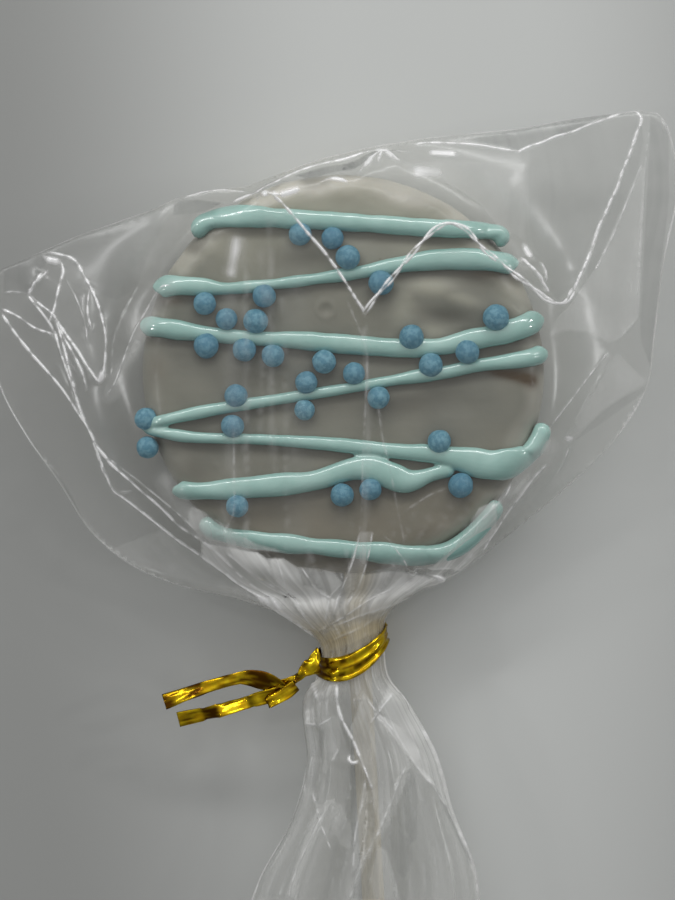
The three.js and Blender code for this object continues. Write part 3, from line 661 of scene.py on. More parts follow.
def new_material(name):
    """An empty material, its node tree and the place on the piece."""
    material = bpy.data.materials.new(name)
    material.use_nodes = True
    tree = material.node_tree
    tree.nodes.clear()
    return material, tree, add_node(tree, "ShaderNodeTexCoord").outputs["Object"]


def stored(tree, name):
    """The value that a piece keeps under that name."""
    return add_node(tree, "ShaderNodeAttribute", attribute_name=name).outputs["Fac"]


def opaque(colour):
    return colour if isinstance(colour, bpy.types.NodeSocket) else (*colour, 1)


def blend_colours(tree, mask, first, second):
    inputs = {"Factor": mask, "A": opaque(first), "B": opaque(second)}
    return output(tree, "ShaderNodeMix", inputs, data_type="RGBA")


def maths(tree, operation, *values):
    return output(tree, "ShaderNodeMath", dict(enumerate(values)), operation=operation)


def ranged(tree, value, low, high):
    return output(tree, "ShaderNodeMapRange", {"Value": value, "To Min": low, "To Max": high})


def mix_shaders(tree, share, first, second):
    return output(tree, "ShaderNodeMixShader", {0: share, 1: first, 2: second})


def finish(tree, shader, kind="ShaderNodeOutputMaterial"):
    add_node(tree, kind, {"Surface": shader})


def layered_material(name, colour, layers, bumps, finishing, stretch=None):
    """A solid finish: colours laid on the first one, each through clouds or through a stored mask."""
    material, tree, place = new_material(name)
    if stretch:
        place = output(tree, "ShaderNodeMapping", {"Vector": place, "Scale": stretch})
    for mask, over in layers:
        mask = stored(tree, mask) if isinstance(mask, str) else mottle(tree, place, *mask)
        colour = blend_colours(tree, mask, colour, over)
    inputs = {"Base Color": colour, "Normal": relief(tree, place, *bumps), **finishing}
    finish(tree, output(tree, "ShaderNodeBsdfPrincipled", inputs))
    return material


def coating_material(settings):
    """Dipped ivory coating: satin and mottled, with painted light toward the top and round the rim, and
    painted shade toward the stick, in hollows and below the drizzle and pearls.
    """
    masks = [(name, getattr(settings, name)) for name in ("top", "low", "rim", "dark", "thin")]
    layers = [((16, 2.0), settings.shade), *masks, ((0.7, 2.0, 0.72, 0.8), settings.speck)]
    satin = {
        "Roughness": 0.38, "Subsurface Weight": 0.08, "Subsurface Radius": (0.004, 0.003, 0.002),
        "Subsurface Scale": 0.4, "Coat Weight": 0.12, "Coat Roughness": 0.2,
    }
    return layered_material("coating", settings.colour, layers, (1.2, 0.03), satin)


def drizzle_material(settings):
    """Pale aqua drizzle: glossy, thinner and paler here and there, with painted shade on its lower sides.
    """
    layers = [((7,), settings.pale), ("below", settings.deep)]
    glossy = {
        "Roughness": 0.26, "Subsurface Weight": 0.15, "Subsurface Radius": (0.002, 0.003, 0.003),
        "Subsurface Scale": 0.4, "Coat Weight": 1.0, "Coat Roughness": 0.08, "Coat IOR": 1.9,
    }
    return layered_material("drizzle", settings.colour, layers, (2.2, 0.04), glossy)


def pearl_material(settings):
    """Pale blue sugar pearls: chalky and mottled, each a shade of its own."""
    layers = [((0.9, 4.0, 0.42, 0.6), settings.pale), ("tone", settings.deep)]
    return layered_material("sugar pearl", settings.colour, layers, (0.6, 0.12, 4.0), {"Roughness": 0.55})


def paper_material(settings):
    """Rolled white paper: matt, with short fibres along it."""
    layers = [((2.5, 5.0, 0.3, 0.7), settings.shade)]
    bumps = (1.5, 0.04, 5.0)
    matt = {"Roughness": 0.8}
    return layered_material("rolled paper", settings.colour, layers, bumps, matt, (6.0, 1.0, 6.0))


def foil_material(settings):
    """Lemon gold foil: metal with fine crinkles, darkened in streaks by painted shade and dark
    reflections.
    """
    layers = [((1.5,), settings.deep), ("shade", settings.brown)]
    metal = {"Metallic": 1.0, "Roughness": 0.15}
    return layered_material("gold foil", settings.colour, layers, (0.9, 0.03), metal)


def film_material(settings):
    """Clear film: it shows what lies behind, mirrors by its angle, and is milky where it is creased or
    layered, with painted light, shade and dark reflections on its flat places and painted highlights along
    its creases.
    """
    material, tree, place = new_material("clear film")
    normal = relief(tree, place, 4.5, settings.wrinkle / MM, 4.0)
    weight = add_node(tree, "ShaderNodeLayerWeight", {"Blend": 0.5, "Normal": normal})
    grazing = maths(tree, "POWER", weight.outputs["Facing"], 5.0)
    glitter, haze_and_painted_light, warm, painted_shade_and_reflection, fan, run = (
        stored(tree, name) for name in ("glitter", "haze_and_painted_light", "warm", "painted_shade_and_reflection", "fan", "run")
    )
    fanned = output(tree, "ShaderNodeCombineXYZ", {"X": fan, "Y": run})
    streaks = mottle(tree, fanned, settings.streak / MM, 2.0)
    streaks = ranged(tree, streaks, 1 - settings.streaky, 1 + 0.5 * settings.streaky)
    # The milky colour: haze and painted light, warmed at the neck as painted reflection of the tie with
    # the stick showing through, and darkened as painted shade and dark reflection.
    milky = blend_colours(tree, warm, settings.haze_and_painted_light_colour, settings.warm)
    milky = blend_colours(tree, painted_shade_and_reflection, milky, settings.painted_shade_and_reflection)
    crumpled = relief(tree, place, settings.crumple / MM, 0.45 * settings.crumple / MM, 2.0)
    clear = output(tree, "ShaderNodeBsdfTransparent", {"Color": opaque(settings.tint)})
    hazy_painted_light = output(tree, "ShaderNodeBsdfDiffuse", {"Color": milky})
    gloss = output(tree, "ShaderNodeBsdfGlossy", {"Roughness": 0.24, "Normal": normal})
    # Painted highlights along the creases: white and matt, with a share of rough mirror.
    white = output(tree, "ShaderNodeBsdfDiffuse", {"Color": opaque(settings.painted_glint_colour)})
    flash = output(tree, "ShaderNodeBsdfGlossy", {"Roughness": 0.22, "Normal": crumpled})
    body = mix_shaders(tree, maths(tree, "MULTIPLY", haze_and_painted_light, streaks), clear, hazy_painted_light)
    mirrored = mix_shaders(tree, ranged(tree, grazing, settings.reflectance, 1.0), body, gloss)
    sparkle = mix_shaders(tree, settings.flash, white, flash)
    finish(tree, mix_shaders(tree, glitter, mirrored, sparkle))
    return material


# Painted light on the floor: the middle of its lighter pool, how far it reaches and where it fades.
FLOOR_BRIGHT = (20, 40)
FLOOR_REACH = (62, 280)
FLOOR_FADE = (0.25, 1.35)


def floor_material(settings):
    """Pale and matt, with painted light: lighter round a place beyond the pop and darker away from it."""
    material, tree, place = new_material("pale floor")
    scale = 1 / (np.array(FLOOR_REACH) * MM)
    shift = -(ORIGIN[:2] + np.array(FLOOR_BRIGHT) * MM) * scale
    inputs = {"Vector": place, "Location": (*shift, 0), "Scale": (*scale, 0)}
    spread = output(tree, "ShaderNodeMapping", inputs)
    away = add_node(tree, "ShaderNodeVectorMath", {0: spread}, operation="LENGTH").outputs["Value"]
    inputs = {"Value": away, "From Min": FLOOR_FADE[0], "From Max": FLOOR_FADE[1]}
    shaded = output(tree, "ShaderNodeMapRange", inputs, interpolation_type="SMOOTHSTEP")
    colour = blend_colours(tree, shaded, settings.floor_colour, settings.floor_shade)
    finish(tree, output(tree, "ShaderNodeBsdfPrincipled", {"Base Color": colour, "Roughness": 0.9}))
    return material


# The pop

CREST = from_photo([(388, 330), (402, 305), (418, 290), (440, 290), (462, 300), (484, 308), (505, 300)])
HOLLOW, DIMPLE, DOT = from_photo([(448, 318), (326, 310), (216, 466)])
# Painted shade: a near-black wedge just below the right end of the fourth strand.
STRAND_END_SHADE = from_photo([(478, 371), (492, 371.5), (508, 374), (521, 377), (531, 380)])

# Swells of the coating: height, length and seed.
FACE_SWELLS = ((0.2, 19, 11), (0.08, 7, 12), (0.015, 2.4, 13))
RIM_SWELLS = ((0.1, 4.2, 21), (0.05, 1.9, 22))
BACK_SWELLS = ((0.1, 15, 23),)
COATING_SIDES = 360


def coating_relief(x, y):
    """How far the dipped face stands over a flat one."""
    x, y = np.asarray(x, float), np.asarray(y, float)
    along, across = beside(even_line(CREST, 0.8)[0], x.ravel(), y.ravel())
    crest = 0.7 * bell(across, 2.2) * np.sin(math.pi * along / (along.max() + 1e-6))
    height = swells(x, y, FACE_SWELLS) + crest.reshape(x.shape)
    height -= 0.5 * bell(np.hypot((x - HOLLOW[0]) / 1.6, y - HOLLOW[1]), 2.4)
    ring = np.hypot(x - DIMPLE[0], y - DIMPLE[1])
    height += 0.14 * bell(ring - 1.5, 0.45) - 0.25 * bell(ring, 0.8)
    return height + 0.2 * bell(np.hypot(x - DOT[0], y - DOT[1]), 0.6)


def on_coating(x, y, lift):
    """The points that stand lift above the coating, over (x, y) on the face or beside it on its edge.

    What juts out past the edge stands off it further, so that it stays in sight from above.
    """
    distance = np.maximum(np.hypot(x, y), 1e-6)
    lift = np.maximum(lift, np.hypot(np.maximum(distance - FLAT_RADIUS, 0), JUT_HEIGHT) - SHOULDER)
    reach = SHOULDER + lift
    over = np.clip(distance - FLAT_RADIUS, 0, reach)
    past = np.maximum(distance - FLAT_RADIUS - reach, 0)
    scale = np.where(distance > FLAT_RADIUS, (FLAT_RADIUS + over) / distance, 1)
    height = FRONT - SHOULDER + np.sqrt(reach**2 - over**2) - 3 * past
    level = coating_relief(x * scale, y * scale) * (1 - smoothstep(distance, 29, 34))
    return np.stack((x * scale, y * scale, height + level), axis=-1)


def coating_out(points):
    """The way the coating faces at points on or above it."""
    x, y, z = points.T
    distance = np.maximum(np.hypot(x, y), 1e-6)
    edge = np.minimum(distance, FLAT_RADIUS) / distance
    return unit(np.stack((x * (1 - edge), y * (1 - edge), z - (FRONT - SHOULDER)), axis=1))


def coating_profile():
    """Radius, height and the way out at each ring, from the middle of the face round to the back's."""
    rings = [(radius, FRONT, 0, 1) for radius in np.arange(0.4, FLAT_RADIUS, 0.4)]
    for turn in np.linspace(0, math.pi / 2, 18):
        out, up = math.sin(turn), math.cos(turn)
        rings.append((FLAT_RADIUS + SHOULDER * out, FRONT - SHOULDER + SHOULDER * up, out, up))
    for height in np.linspace(FRONT - SHOULDER, POP_LIFT + HEEL, 12)[1:-1]:
        rings.append((POP_RADIUS, height, 1, 0))
    for turn in np.linspace(0, math.pi / 2, 8):
        out, up = math.cos(turn), -math.sin(turn)
        rings.append((POP_RADIUS - HEEL + HEEL * out, POP_LIFT + HEEL + HEEL * up, out, up))
    rings += [(radius, POP_LIFT, 0, -1) for radius in np.arange(32.5, 1, -1.5)]
    return np.array(rings)


def spots_at(spots, x, y):
    """How strongly any of the oval spots colours each point."""
    strongest = np.zeros(len(x))
    for right, down, half_length, half_width, degrees, strength in spots:
        middle_x, middle_y = from_photo([(right, down)])[0]
        cos, sin = math.cos(math.radians(degrees)), math.sin(math.radians(degrees))
        along = (x - middle_x) * cos + (y - middle_y) * sin
        across = (y - middle_y) * cos - (x - middle_x) * sin
        spot = strength * bell(np.hypot(along / half_length, across / half_width), 1)
        strongest = np.maximum(strongest, spot)
    return strongest


def shadow_at(x, y):
    """How close each point lies below the drizzle or a pearl, where little light reaches."""
    shade = np.zeros(len(x))
    x, y = x - SHADOW_SHIFT[0], y - SHADOW_SHIFT[1]
    for strand in STRANDS:
        line, gone = even_line(strand, 1.0)
        along, offset = beside(line[:, :2], x, y)
        outside = np.abs(offset) - np.interp(along, gone, line[:, 2]) / 2
        shade = np.maximum(shade, 1 - smoothstep(outside, -0.4, SHADOW_REACH))
    for middle_x, middle_y, diameter in PEARLS:
        outside = np.hypot(x - middle_x, y - middle_y) - diameter / 2
        shade = np.maximum(shade, 0.7 * (1 - smoothstep(outside, -0.6, SHADOW_REACH)))
    return shade


def build_coating(settings):
    """The dipped body, and its painted light and shade at each point: lighter toward the top and round the
    rim, darker toward the stick, darkest in hollows and below the drizzle and pearls.
    """
    turns, cos, sin = circle(COATING_SIDES)
    radius, height, out, up = (column[:, None] for column in coating_profile().T)
    stretch = 1 + 0.004 * np.cos(2 * turns + 0.6) + 0.003 * np.cos(3 * turns - 1)
    x, y = radius * cos * stretch, radius * sin * stretch
    edge = 1 - np.abs(2 * np.clip((radius - 29) / 8, 0, 1) - 1)
    upper = 0.3 + 0.7 * smoothstep(sin, -0.2, 0.8)
    swell = coating_relief(x, y) * np.clip(up, 0, 1)
    swell += settings.rim_bumps / MM * swells(x, y, RIM_SWELLS) * edge * upper
    swell += np.clip(-up, 0, 1) * swells(x, y, BACK_SWELLS)
    rings = np.stack((x + swell * out * cos, y + swell * out * sin, height + swell * up + 0 * x), axis=-1)
    top = FRONT + float(coating_relief(np.zeros(1), np.zeros(1))[0])
    points, faces = closed_body(rings, (0, 0, top), (0, 0, POP_LIFT), flip=True)
    piece = mesh_object("coating", points, faces, coating_material(settings))
    x, y, z = points.T
    uneven = 0.8 * ripple(x, y, 9, 24)
    along, across = beside(even_line(STRAND_END_SHADE, 0.5)[0], x, y)
    strand_end_shade = np.minimum(1.3 * bell(across, 0.45 + 0.09 * along) * smoothstep(along, 0, 4), 1)
    # Painted light on the rim: some all round, more toward the upper right and most at the top.
    lit = 0.2 + 0.25 * smoothstep(x + y, -24, 12) + 0.55 * smoothstep(y + uneven, 20, 31)
    store(piece, {
        # Painted light and shade: lighter toward the top end and at the painted light spots, darker and
        # browner toward the stick, painted shade in hollows and below the drizzle and pearls, and
        # near-black shade just below some strands.
        "top": np.maximum(smoothstep(y + 2 * uneven, 8, 34), spots_at(PAINTED_LIGHT_SPOTS, x, y)),
        "low": smoothstep(-y + 2 * uneven, 8, 34),
        "rim": lit * smoothstep(np.hypot(x, y) + uneven, 30.5, 34),
        "dark": np.maximum(spots_at(PAINTED_SHADE_SPOTS, x, y), 0.55 * shadow_at(x, y) * (z > MIDDLE)),
        "thin": np.maximum(strand_end_shade, spots_at(PAINTED_BROWN_SHADE_SPOTS, x, y)),
    })
    declare(piece, "coating", "pop")


STRAND_SIDES = 20
MELT_ROUNDS = 4


def strand_body(points):
    """A rounded body of drizzle along the coating: its points and its faces."""
    line, gone = even_line(points, 0.4)
    x, y, width = line.T
    half = width / 2 * (1 + 0.05 * ripple(gone, 0, 5, len(points)))
    height = np.minimum(0.5 + 0.42 * half, 1.35) + 0.5 * smoothstep(np.hypot(x, y), 33, 37)
    from_end = np.minimum(gone, gone[-1] - gone) / np.maximum(half, 0.4)
    rounded = np.sqrt(np.clip(1 - np.clip(1 - from_end, 0, 1) ** 2, 0, 1))
    centres = on_coating(x, y, STRAND_SINK + 0.3 * height)
    out = coating_out(centres)
    across = unit(np.cross(np.gradient(centres, axis=0), out))
    _, cos, sin = circle(STRAND_SIDES)
    wide = (half * rounded)[:, None, None] * cos[:, None] * across[:, None, :]
    tall = (height * rounded)[:, None, None] * sin[:, None] * out[:, None, :]
    return closed_body((centres[:, None, :] + wide + tall)[1:-1], centres[0], centres[-1])


def build_drizzle(settings):
    """The strands melted into one skin, in millimetres, and then put in its place."""
    points, faces = joined(map(strand_body, STRANDS))
    mesh = bpy.data.meshes.new("drizzle")
    mesh.from_pydata(points.tolist(), [], faces)
    piece = linked("drizzle", mesh)
    melt = piece.modifiers.new("Melt", "REMESH")
    melt.mode = "VOXEL"
    melt.voxel_size = settings.fineness / MM
    smooth = piece.modifiers.new("Smooth", "SMOOTH")
    smooth.factor = 0.5
    smooth.iterations = MELT_ROUNDS
    mesh = with_modifiers(piece).data
    for vertex in mesh.vertices:
        vertex.co = vertex.co * MM + Vector(ORIGIN)
    mesh.materials.append(drizzle_material(settings))
    mesh.shade_smooth()
    # Painted shade on the sides that face away from the light, towards the stick.
    facing = np.array([vertex.normal.y for vertex in mesh.vertices])
    store(piece, {"below": smoothstep(-facing, -0.1, 0.85)})
    declare(piece, "drizzle", "pop")


def drizzle_height(x, y):
    """How far the drizzle stands over the coating at (x, y)."""
    highest = 0.0
    for strand in STRANDS:
        line_x, line_y, width = even_line(strand, 0.5)[0].T
        share = (np.hypot(x - line_x, y - line_y) / (width / 2)).min()
        if share < 1:
            highest = max(highest, 1.5 * math.sqrt(1 - share**2))
    return highest


def pearl_tree(material):
    """Geometry nodes that put an uneven ball on every point, as wide as its diameter says."""
    inputs = {
        "Geometry": SHAPE, "Unevenness": 0.0001, "Lumps Per Metre": 420.0, "Tone": 0.5, "Rounds": 4,
        "Seed": 5,
    }
    tree, given, result = new_group("Sugar pearls", "GeometryNodeTree", inputs, {"Geometry": SHAPE})
    ball = output(
        tree, "GeometryNodeMeshIcoSphere", {"Radius": 0.5, "Subdivisions": given["Rounds"]}
    )
    diameter = output(tree, "GeometryNodeInputNamedAttribute", {"Name": "diameter"})
    placed = output(
        tree, "GeometryNodeInstanceOnPoints",
        {"Points": given["Geometry"], "Instance": ball, "Scale": diameter},
    )
    shade = output(tree, "FunctionNodeRandomValue", {"Seed": given["Seed"], "Max": given["Tone"]})
    toned = output(
        tree, "GeometryNodeStoreNamedAttribute", {"Geometry": placed, "Name": "tone", "Value": shade},
        domain="INSTANCE",
    )
    real = output(tree, "GeometryNodeRealizeInstances", {"Geometry": toned})
    place = output(tree, "GeometryNodeInputPosition")
    noise = {"Vector": place, "Scale": given["Lumps Per Metre"], "Detail": 2.0}
    lumps = add_node(tree, "ShaderNodeTexNoise", noise).outputs["Color"]
    middle = output(tree, "ShaderNodeVectorMath", {0: lumps, 1: (0.5, 0.5, 0.5)}, operation="SUBTRACT")
    push = {0: middle, "Scale": given["Unevenness"]}
    offset = output(tree, "ShaderNodeVectorMath", push, operation="SCALE")
    moved = output(tree, "GeometryNodeSetPosition", {"Geometry": real, "Offset": offset})
    smooth = output(tree, "GeometryNodeSetShadeSmooth", {"Geometry": moved})
    coloured = output(tree, "GeometryNodeSetMaterial", {"Geometry": smooth, "Material": material})
    tree.links.new(coloured, result["Geometry"])
    return tree


def build_pearls(settings):
    """A point for each pearl on the coating or the drizzle, and a ball on every point."""
    places = []
    for x, y, diameter in PEARLS:
        lift = PEARL_LIFT * diameter / 2 + PEARL_ON_DRIZZLE * drizzle_height(x, y)
        places.append(on_coating(np.array([x]), np.array([y]), lift))
    material = pearl_material(settings)
    piece = mesh_object("pearls", np.vstack(places), [], material)
    store(piece, {"diameter": np.array(PEARLS)[:, 2] * MM})
    modifier = piece.modifiers.new("Sugar pearls", "NODES")
    modifier.node_group = pearl_tree(material)
    for item in modifier.node_group.interface.items_tree:
        value = getattr(settings, item.name.lower(), None)
        if item.in_out == "INPUT" and value is not None:
            modifier[item.identifier] = value
    with_modifiers(piece)
    declare(piece, "pearl", "pop")


# The stick

STICK_SIDES = 96
STICK_ROWS = 220
STICK_ROLLS = 9
GROOVE = 0.12


def build_stick(settings):
    """A stick of rolled paper: the edge of its last turn runs along it, and its ends show the roll."""
    low, high = ((corner - Vector(ORIGIN)) / MM for corner in (STICK_LOW, STICK_HIGH))
    turns, cos, sin = circle(STICK_SIDES)
    steps = np.linspace(high.y, low.y, STICK_ROWS)[:, None]
    behind = (turns - 2.2 - 0.004 * (steps - high.y)) % FULL_TURN
    step_down = settings.ply / MM * (1 - behind / FULL_TURN) * (behind > 0.05)
    outer = (high.x - low.x) / 2 - 0.02 - 0.5 * step_down + 0.012 * ripple(turns * 6, steps, 9, 31)

    def rings(reach, y):
        return np.stack((reach * cos, y + 0 * reach, MIDDLE + reach * sin), axis=-1)

    shares = np.linspace(0.94, 0.08, 24)[:, None]
    rolled = np.abs((shares * STICK_ROLLS + turns / FULL_TURN) % 1 - 0.5) * 2
    groove = GROOVE * (rolled < 0.25)
    inner_end = rings(outer[0] * shares, high.y - groove)[::-1]
    free_end = rings(outer[-1] * shares, low.y + groove)
    body = np.concatenate((inner_end, rings(outer, steps), free_end))
    points, faces = closed_body(body, (0, high.y, MIDDLE), (0, low.y, MIDDLE))
    piece = mesh_object("paper_stick", points, faces, paper_material(settings))
    declare(piece, "paper", "stick")


# The bag

LINE_SHARES = np.linspace(0, 1, 1501)
LINE_TABLE = smooth_line(BAG_LINES, LINE_SHARES)
FLAT_POWER = 12
ROUND_POWER = 2
CURL = 2.2
CURL_START = 40
CURL_END = 64
FRONT_FILM = 17.9
BACK_FILM = 0.1
FRONT_FALL = 34.0
BACK_FALL = 35.6
FRONT_FALL_LAST = 37.5
FALL_ROOM = 5.0
FALL_MOST = 60.0
FALL_BEND = 2.6
FALL_SHARPNESS = 14
SKIRT_FOLDS = 5
FOLD_SHARE = 0.16
TOP_REACH = 3.0
HEM_STEPS = (0.15, 0.25, 0.5)
NECK_WRAP = 14
NECK_SPACING = 0.22
BACK_SPACING = 1.6
STRIP_CELL = 0.45
TWINE = 0.3
PLEAT_SHARE = 0.014
PLEAT_PAINTED_GLINT = 0.4
EDGE_FINE = 0.18
EDGE_PAINTED_GLINT = 0.5
EDGE_PAINTED_LIGHT = 0.25
HAZE = 0.75
# Where the gathered film is painted warm at the neck: painted reflection of the tie's gold, with the stick
# showing through.
WARM_LINE = 11.6

# The gathered film's pleats: how many, how high they stand in the gather and how high in the skirt.
PLEATS = ((4.5, 0.09, 0.5), (8.5, 0.07, 0.12), (17.0, 0.04, 0))

# Where the stick shows warm through the gathered film.
STICK_LINE = from_photo([(344, 660), (350, 625), (357, 600), (366, 572)])

# How far the film's streaks are spread, in metres: half the sheet's width, and from one cross line on.
FAN_WIDTH = 0.06
FAN_STEP = 0.0004


def lines_at(along):
    """The bag's cross line at each share of its length: ends, half depth, bow and roundness."""
    return [np.interp(along, LINE_SHARES, column) for column in LINE_TABLE.T]


def roundness_at(along):
    return np.clip(lines_at(along)[6], 0, 1)


def film_across(reach, along):
    """The share across the sheet itself, which wraps round where the bag is round."""
    return lerp(reach, np.arcsin(np.clip(reach, -1, 1)) * 2 / math.pi, roundness_at(along))


def film_plan(reach, along):
    """Where a point of the film lies over the ground, from -1 to 1 across and 0 to 1 along the bag."""
    left_x, left_y, right_x, right_y, _, bow, _ = lines_at(along)
    x = lerp(left_x, right_x, (reach + 1) / 2)
    y = lerp(left_y, right_y, (reach + 1) / 2) + bow * (1 - reach**2)
    first = LINE_TABLE[0]
    share = np.clip((x - first[0]) / (first[2] - first[0]), 0, 1)
    plain = lerp(first[1], first[3], share) + first[5] * (1 - (2 * share - 1) ** 2)
    sag = np.interp(x, TOP_EDGE[:, 0], TOP_EDGE[:, 1]) - plain
    return x, y + sag * np.clip(1 - along * LAST_LINE / TOP_REACH, 0, 1)


def film_place(x, y):
    """The share across and along the bag of points on the ground, found by halving."""
    low, high = np.zeros(len(x)), np.ones(len(x))
    for _ in range(26):
        along = (low + high) / 2
        left_x, _, right_x, *_ = lines_at(along)
        reach = 2 * (x - left_x) / (right_x - left_x) - 1
        above = film_plan(np.clip(reach, -1, 1), along)[1] > y
        low = np.where(above, along, low)
        high = np.where(above, high, along)
    return reach, along


def outline_radius():
    """How far the bag's outline is from the middle of the pop, by the turn from +X."""
    shares = np.linspace(0, 1, 400)
    ends = [film_plan(np.full(400, side), shares * NECK_LINE / LAST_LINE) for side in (-1.0, 1.0)]
    ends.append(film_plan(np.linspace(-1, 1, 400), np.zeros(400)))
    x, y = np.concatenate(ends, axis=1)
    turn = np.arctan2(y, x)
    order = np.argsort(turn)
    radius = np.minimum(np.hypot(x, y)[order], FALL_MOST)
    turn = turn[order]
    return np.concatenate((turn - FULL_TURN, turn, turn + FULL_TURN)), np.tile(radius, 3)


OUTLINE = outline_radius()


def film_base(reach, along, side):
    """The film's smooth form on one side of the bag."""
    x, y = film_plan(reach, along)
    line = along * LAST_LINE
    depth, roundness = lines_at(along)[4], roundness_at(along)
    distance, turn = np.hypot(x, y), np.arctan2(y, x)
    power = lerp(FLAT_POWER, ROUND_POWER, roundness)
    edge = np.sqrt(np.clip(1 - np.abs(np.clip(reach, -1, 1)) ** power, 0, 1))
    flare = smoothstep(line, SKIRT_LINE, LAST_LINE)
    folds = 1 + FOLD_SHARE * flare * tent(SKIRT_FOLDS * film_across(reach, along) / 2 + 0.16 * side)
    outline = np.interp(turn, *OUTLINE)
    fall_start = np.clip(outline - FALL_ROOM, FRONT_FALL, FRONT_FALL_LAST) if side > 0 else BACK_FALL
    ramp = (distance - fall_start) / np.maximum(outline - fall_start, 0.8)
    ramp = np.log1p(np.exp(np.clip(ramp * FALL_SHARPNESS, -40, 40))) / FALL_SHARPNESS
    full = FRONT_FILM - MIDDLE if side > 0 else MIDDLE - BACK_FILM
    pillow = (full - depth) * (1 - roundness) * np.clip(1 - ramp, 0, 1) ** FALL_BEND
    wave = np.sin(2 * turn + 0.8)
    seam = MIDDLE + CURL * smoothstep(distance, CURL_START, CURL_END) * wave * (1 - roundness)
    height = seam + side * edge * (1 - np.exp(-line * 6)) * (depth * folds + pillow)
    return np.stack((x, y, np.maximum(height, BACK_FILM / 2)), axis=1)


def sheet_plan(reach, along):
    """The sheet spread out for triangles: as it lies, but never narrower than the neck's wrap."""
    left_x, _, right_x, *_ = lines_at(along)
    half = (right_x - left_x) / 2
    across = film_across(reach, along) * half * np.maximum(1, NECK_WRAP / half)
    return (left_x + right_x) / 2 + across, film_plan(reach, along)[1]


def sheet_grid(spacing):
    """Shares across and along of points spread over the sheet, finer in the neck and at its edges."""
    reaches, alongs = [], []
    share = 0.0
    while share < 1:
        here, ahead = (
            np.array(lines_at(np.array([place]))).ravel() for place in (share, min(share + 0.001, 1))
        )
        tight = float(smoothstep(share * LAST_LINE, GATHER_LINE, GATHER_LINE + 3))
        width = max(here[2] - here[0], 2 * NECK_WRAP)
        across = np.linspace(-1, 1, int(width / lerp(spacing, NECK_SPACING, tight)))
        inset = np.array((0.15, 0.4)) * 2 / width
        across = np.sort(np.concatenate((across, 1 - inset, inset - 1)))
        reaches.append(lerp(across, np.sin(across * math.pi / 2), np.clip(here[6], 0, 1)))
        alongs.append(np.full(len(across), share))
        fall = max(abs(here[1] - ahead[1]), abs(here[3] - ahead[3]), 1e-3)
        step = HEM_STEPS[len(reaches) - 1] if len(reaches) <= len(HEM_STEPS) else spacing
        share += 0.001 * lerp(step, 0.7, tight) / fall
    reaches.append(np.linspace(-1, 1, 200))
    alongs.append(np.ones(200))
    return np.concatenate(reaches), np.concatenate(alongs)


def fold_rows(fold):
    """How far beside a crease its rows of points lie."""
    if fold.lines > 1:
        return (0, 0.12, 0.24, 0.36, 0.48, 0.6, 0.8, 1.1)
    return tuple(share * fold.fine for share in (0, 0.7, 1.4, 2.4, 4.5))


def rows_beside(line, offsets):
    """Rows of points beside a line, at the given distances to each side."""
    ahead = unit(np.gradient(line, axis=0))
    sideways = np.stack((-ahead[:, 1], ahead[:, 0]), axis=1)
    return [line + sign * offset * sideways for offset in offsets for sign in (1, -1)]


def strip_points(creases):
    """Points in rows along every crease and every facet's border, close together across it."""
    places = []
    for fold, points in creases:
        places += rows_beside(even_line(points, 0.45)[0], fold_rows(fold))
    for _, corners in PAINTED_FACETS.values():
        outline = from_photo(corners)
        for start, end in zip(outline, np.roll(outline, -1, axis=0)):
            steps = max(int(np.linalg.norm(end - start) / 0.5), 2)
            shares = np.linspace(0, 1, steps)[:, None]
            places += rows_beside(start + shares * (end - start), (FACET_BLUR / 2, 1.5 * FACET_BLUR))
    return np.vstack(places)


def inside_outline(outline, x, y):
    """Whether each point lies inside the closed outline."""
    within = np.zeros(len(x), bool)
    for (from_x, from_y), (to_x, to_y) in zip(outline, np.roll(outline, -1, axis=0)):
        crossing = (from_y > y) != (to_y > y)
        rise = to_y - from_y if abs(to_y - from_y) > 1e-9 else 1e-9
        within ^= crossing & (x < from_x + (y - from_y) * (to_x - from_x) / rise)
    return within


def painted_facets_at(x, y):
    """How much painted light and how much painted shade and dark reflection the film's flat places have at
    each point.
    """
    clear, light = np.ones(len(x)), np.ones(len(x))
    for number, (strength, corners) in enumerate(PAINTED_FACETS.values()):
        outline = from_photo(corners)
        near = in_box(outline, 1, x, y)
        here_x, here_y = x[near], y[near]
        _, offset = beside(np.vstack((outline, outline[:1])), here_x, here_y)
        depth = np.where(inside_outline(outline, here_x, here_y), 1, -1) * np.abs(offset)
        uneven = 1 + 0.2 * ripple(here_x, here_y, 6, 300 + number)
        share = abs(strength) * uneven * smoothstep(depth, -FACET_BLUR, FACET_BLUR)
        target = clear if strength > 0 else light
        target[near] *= 1 - share
    return 1 - clear, 1 - light


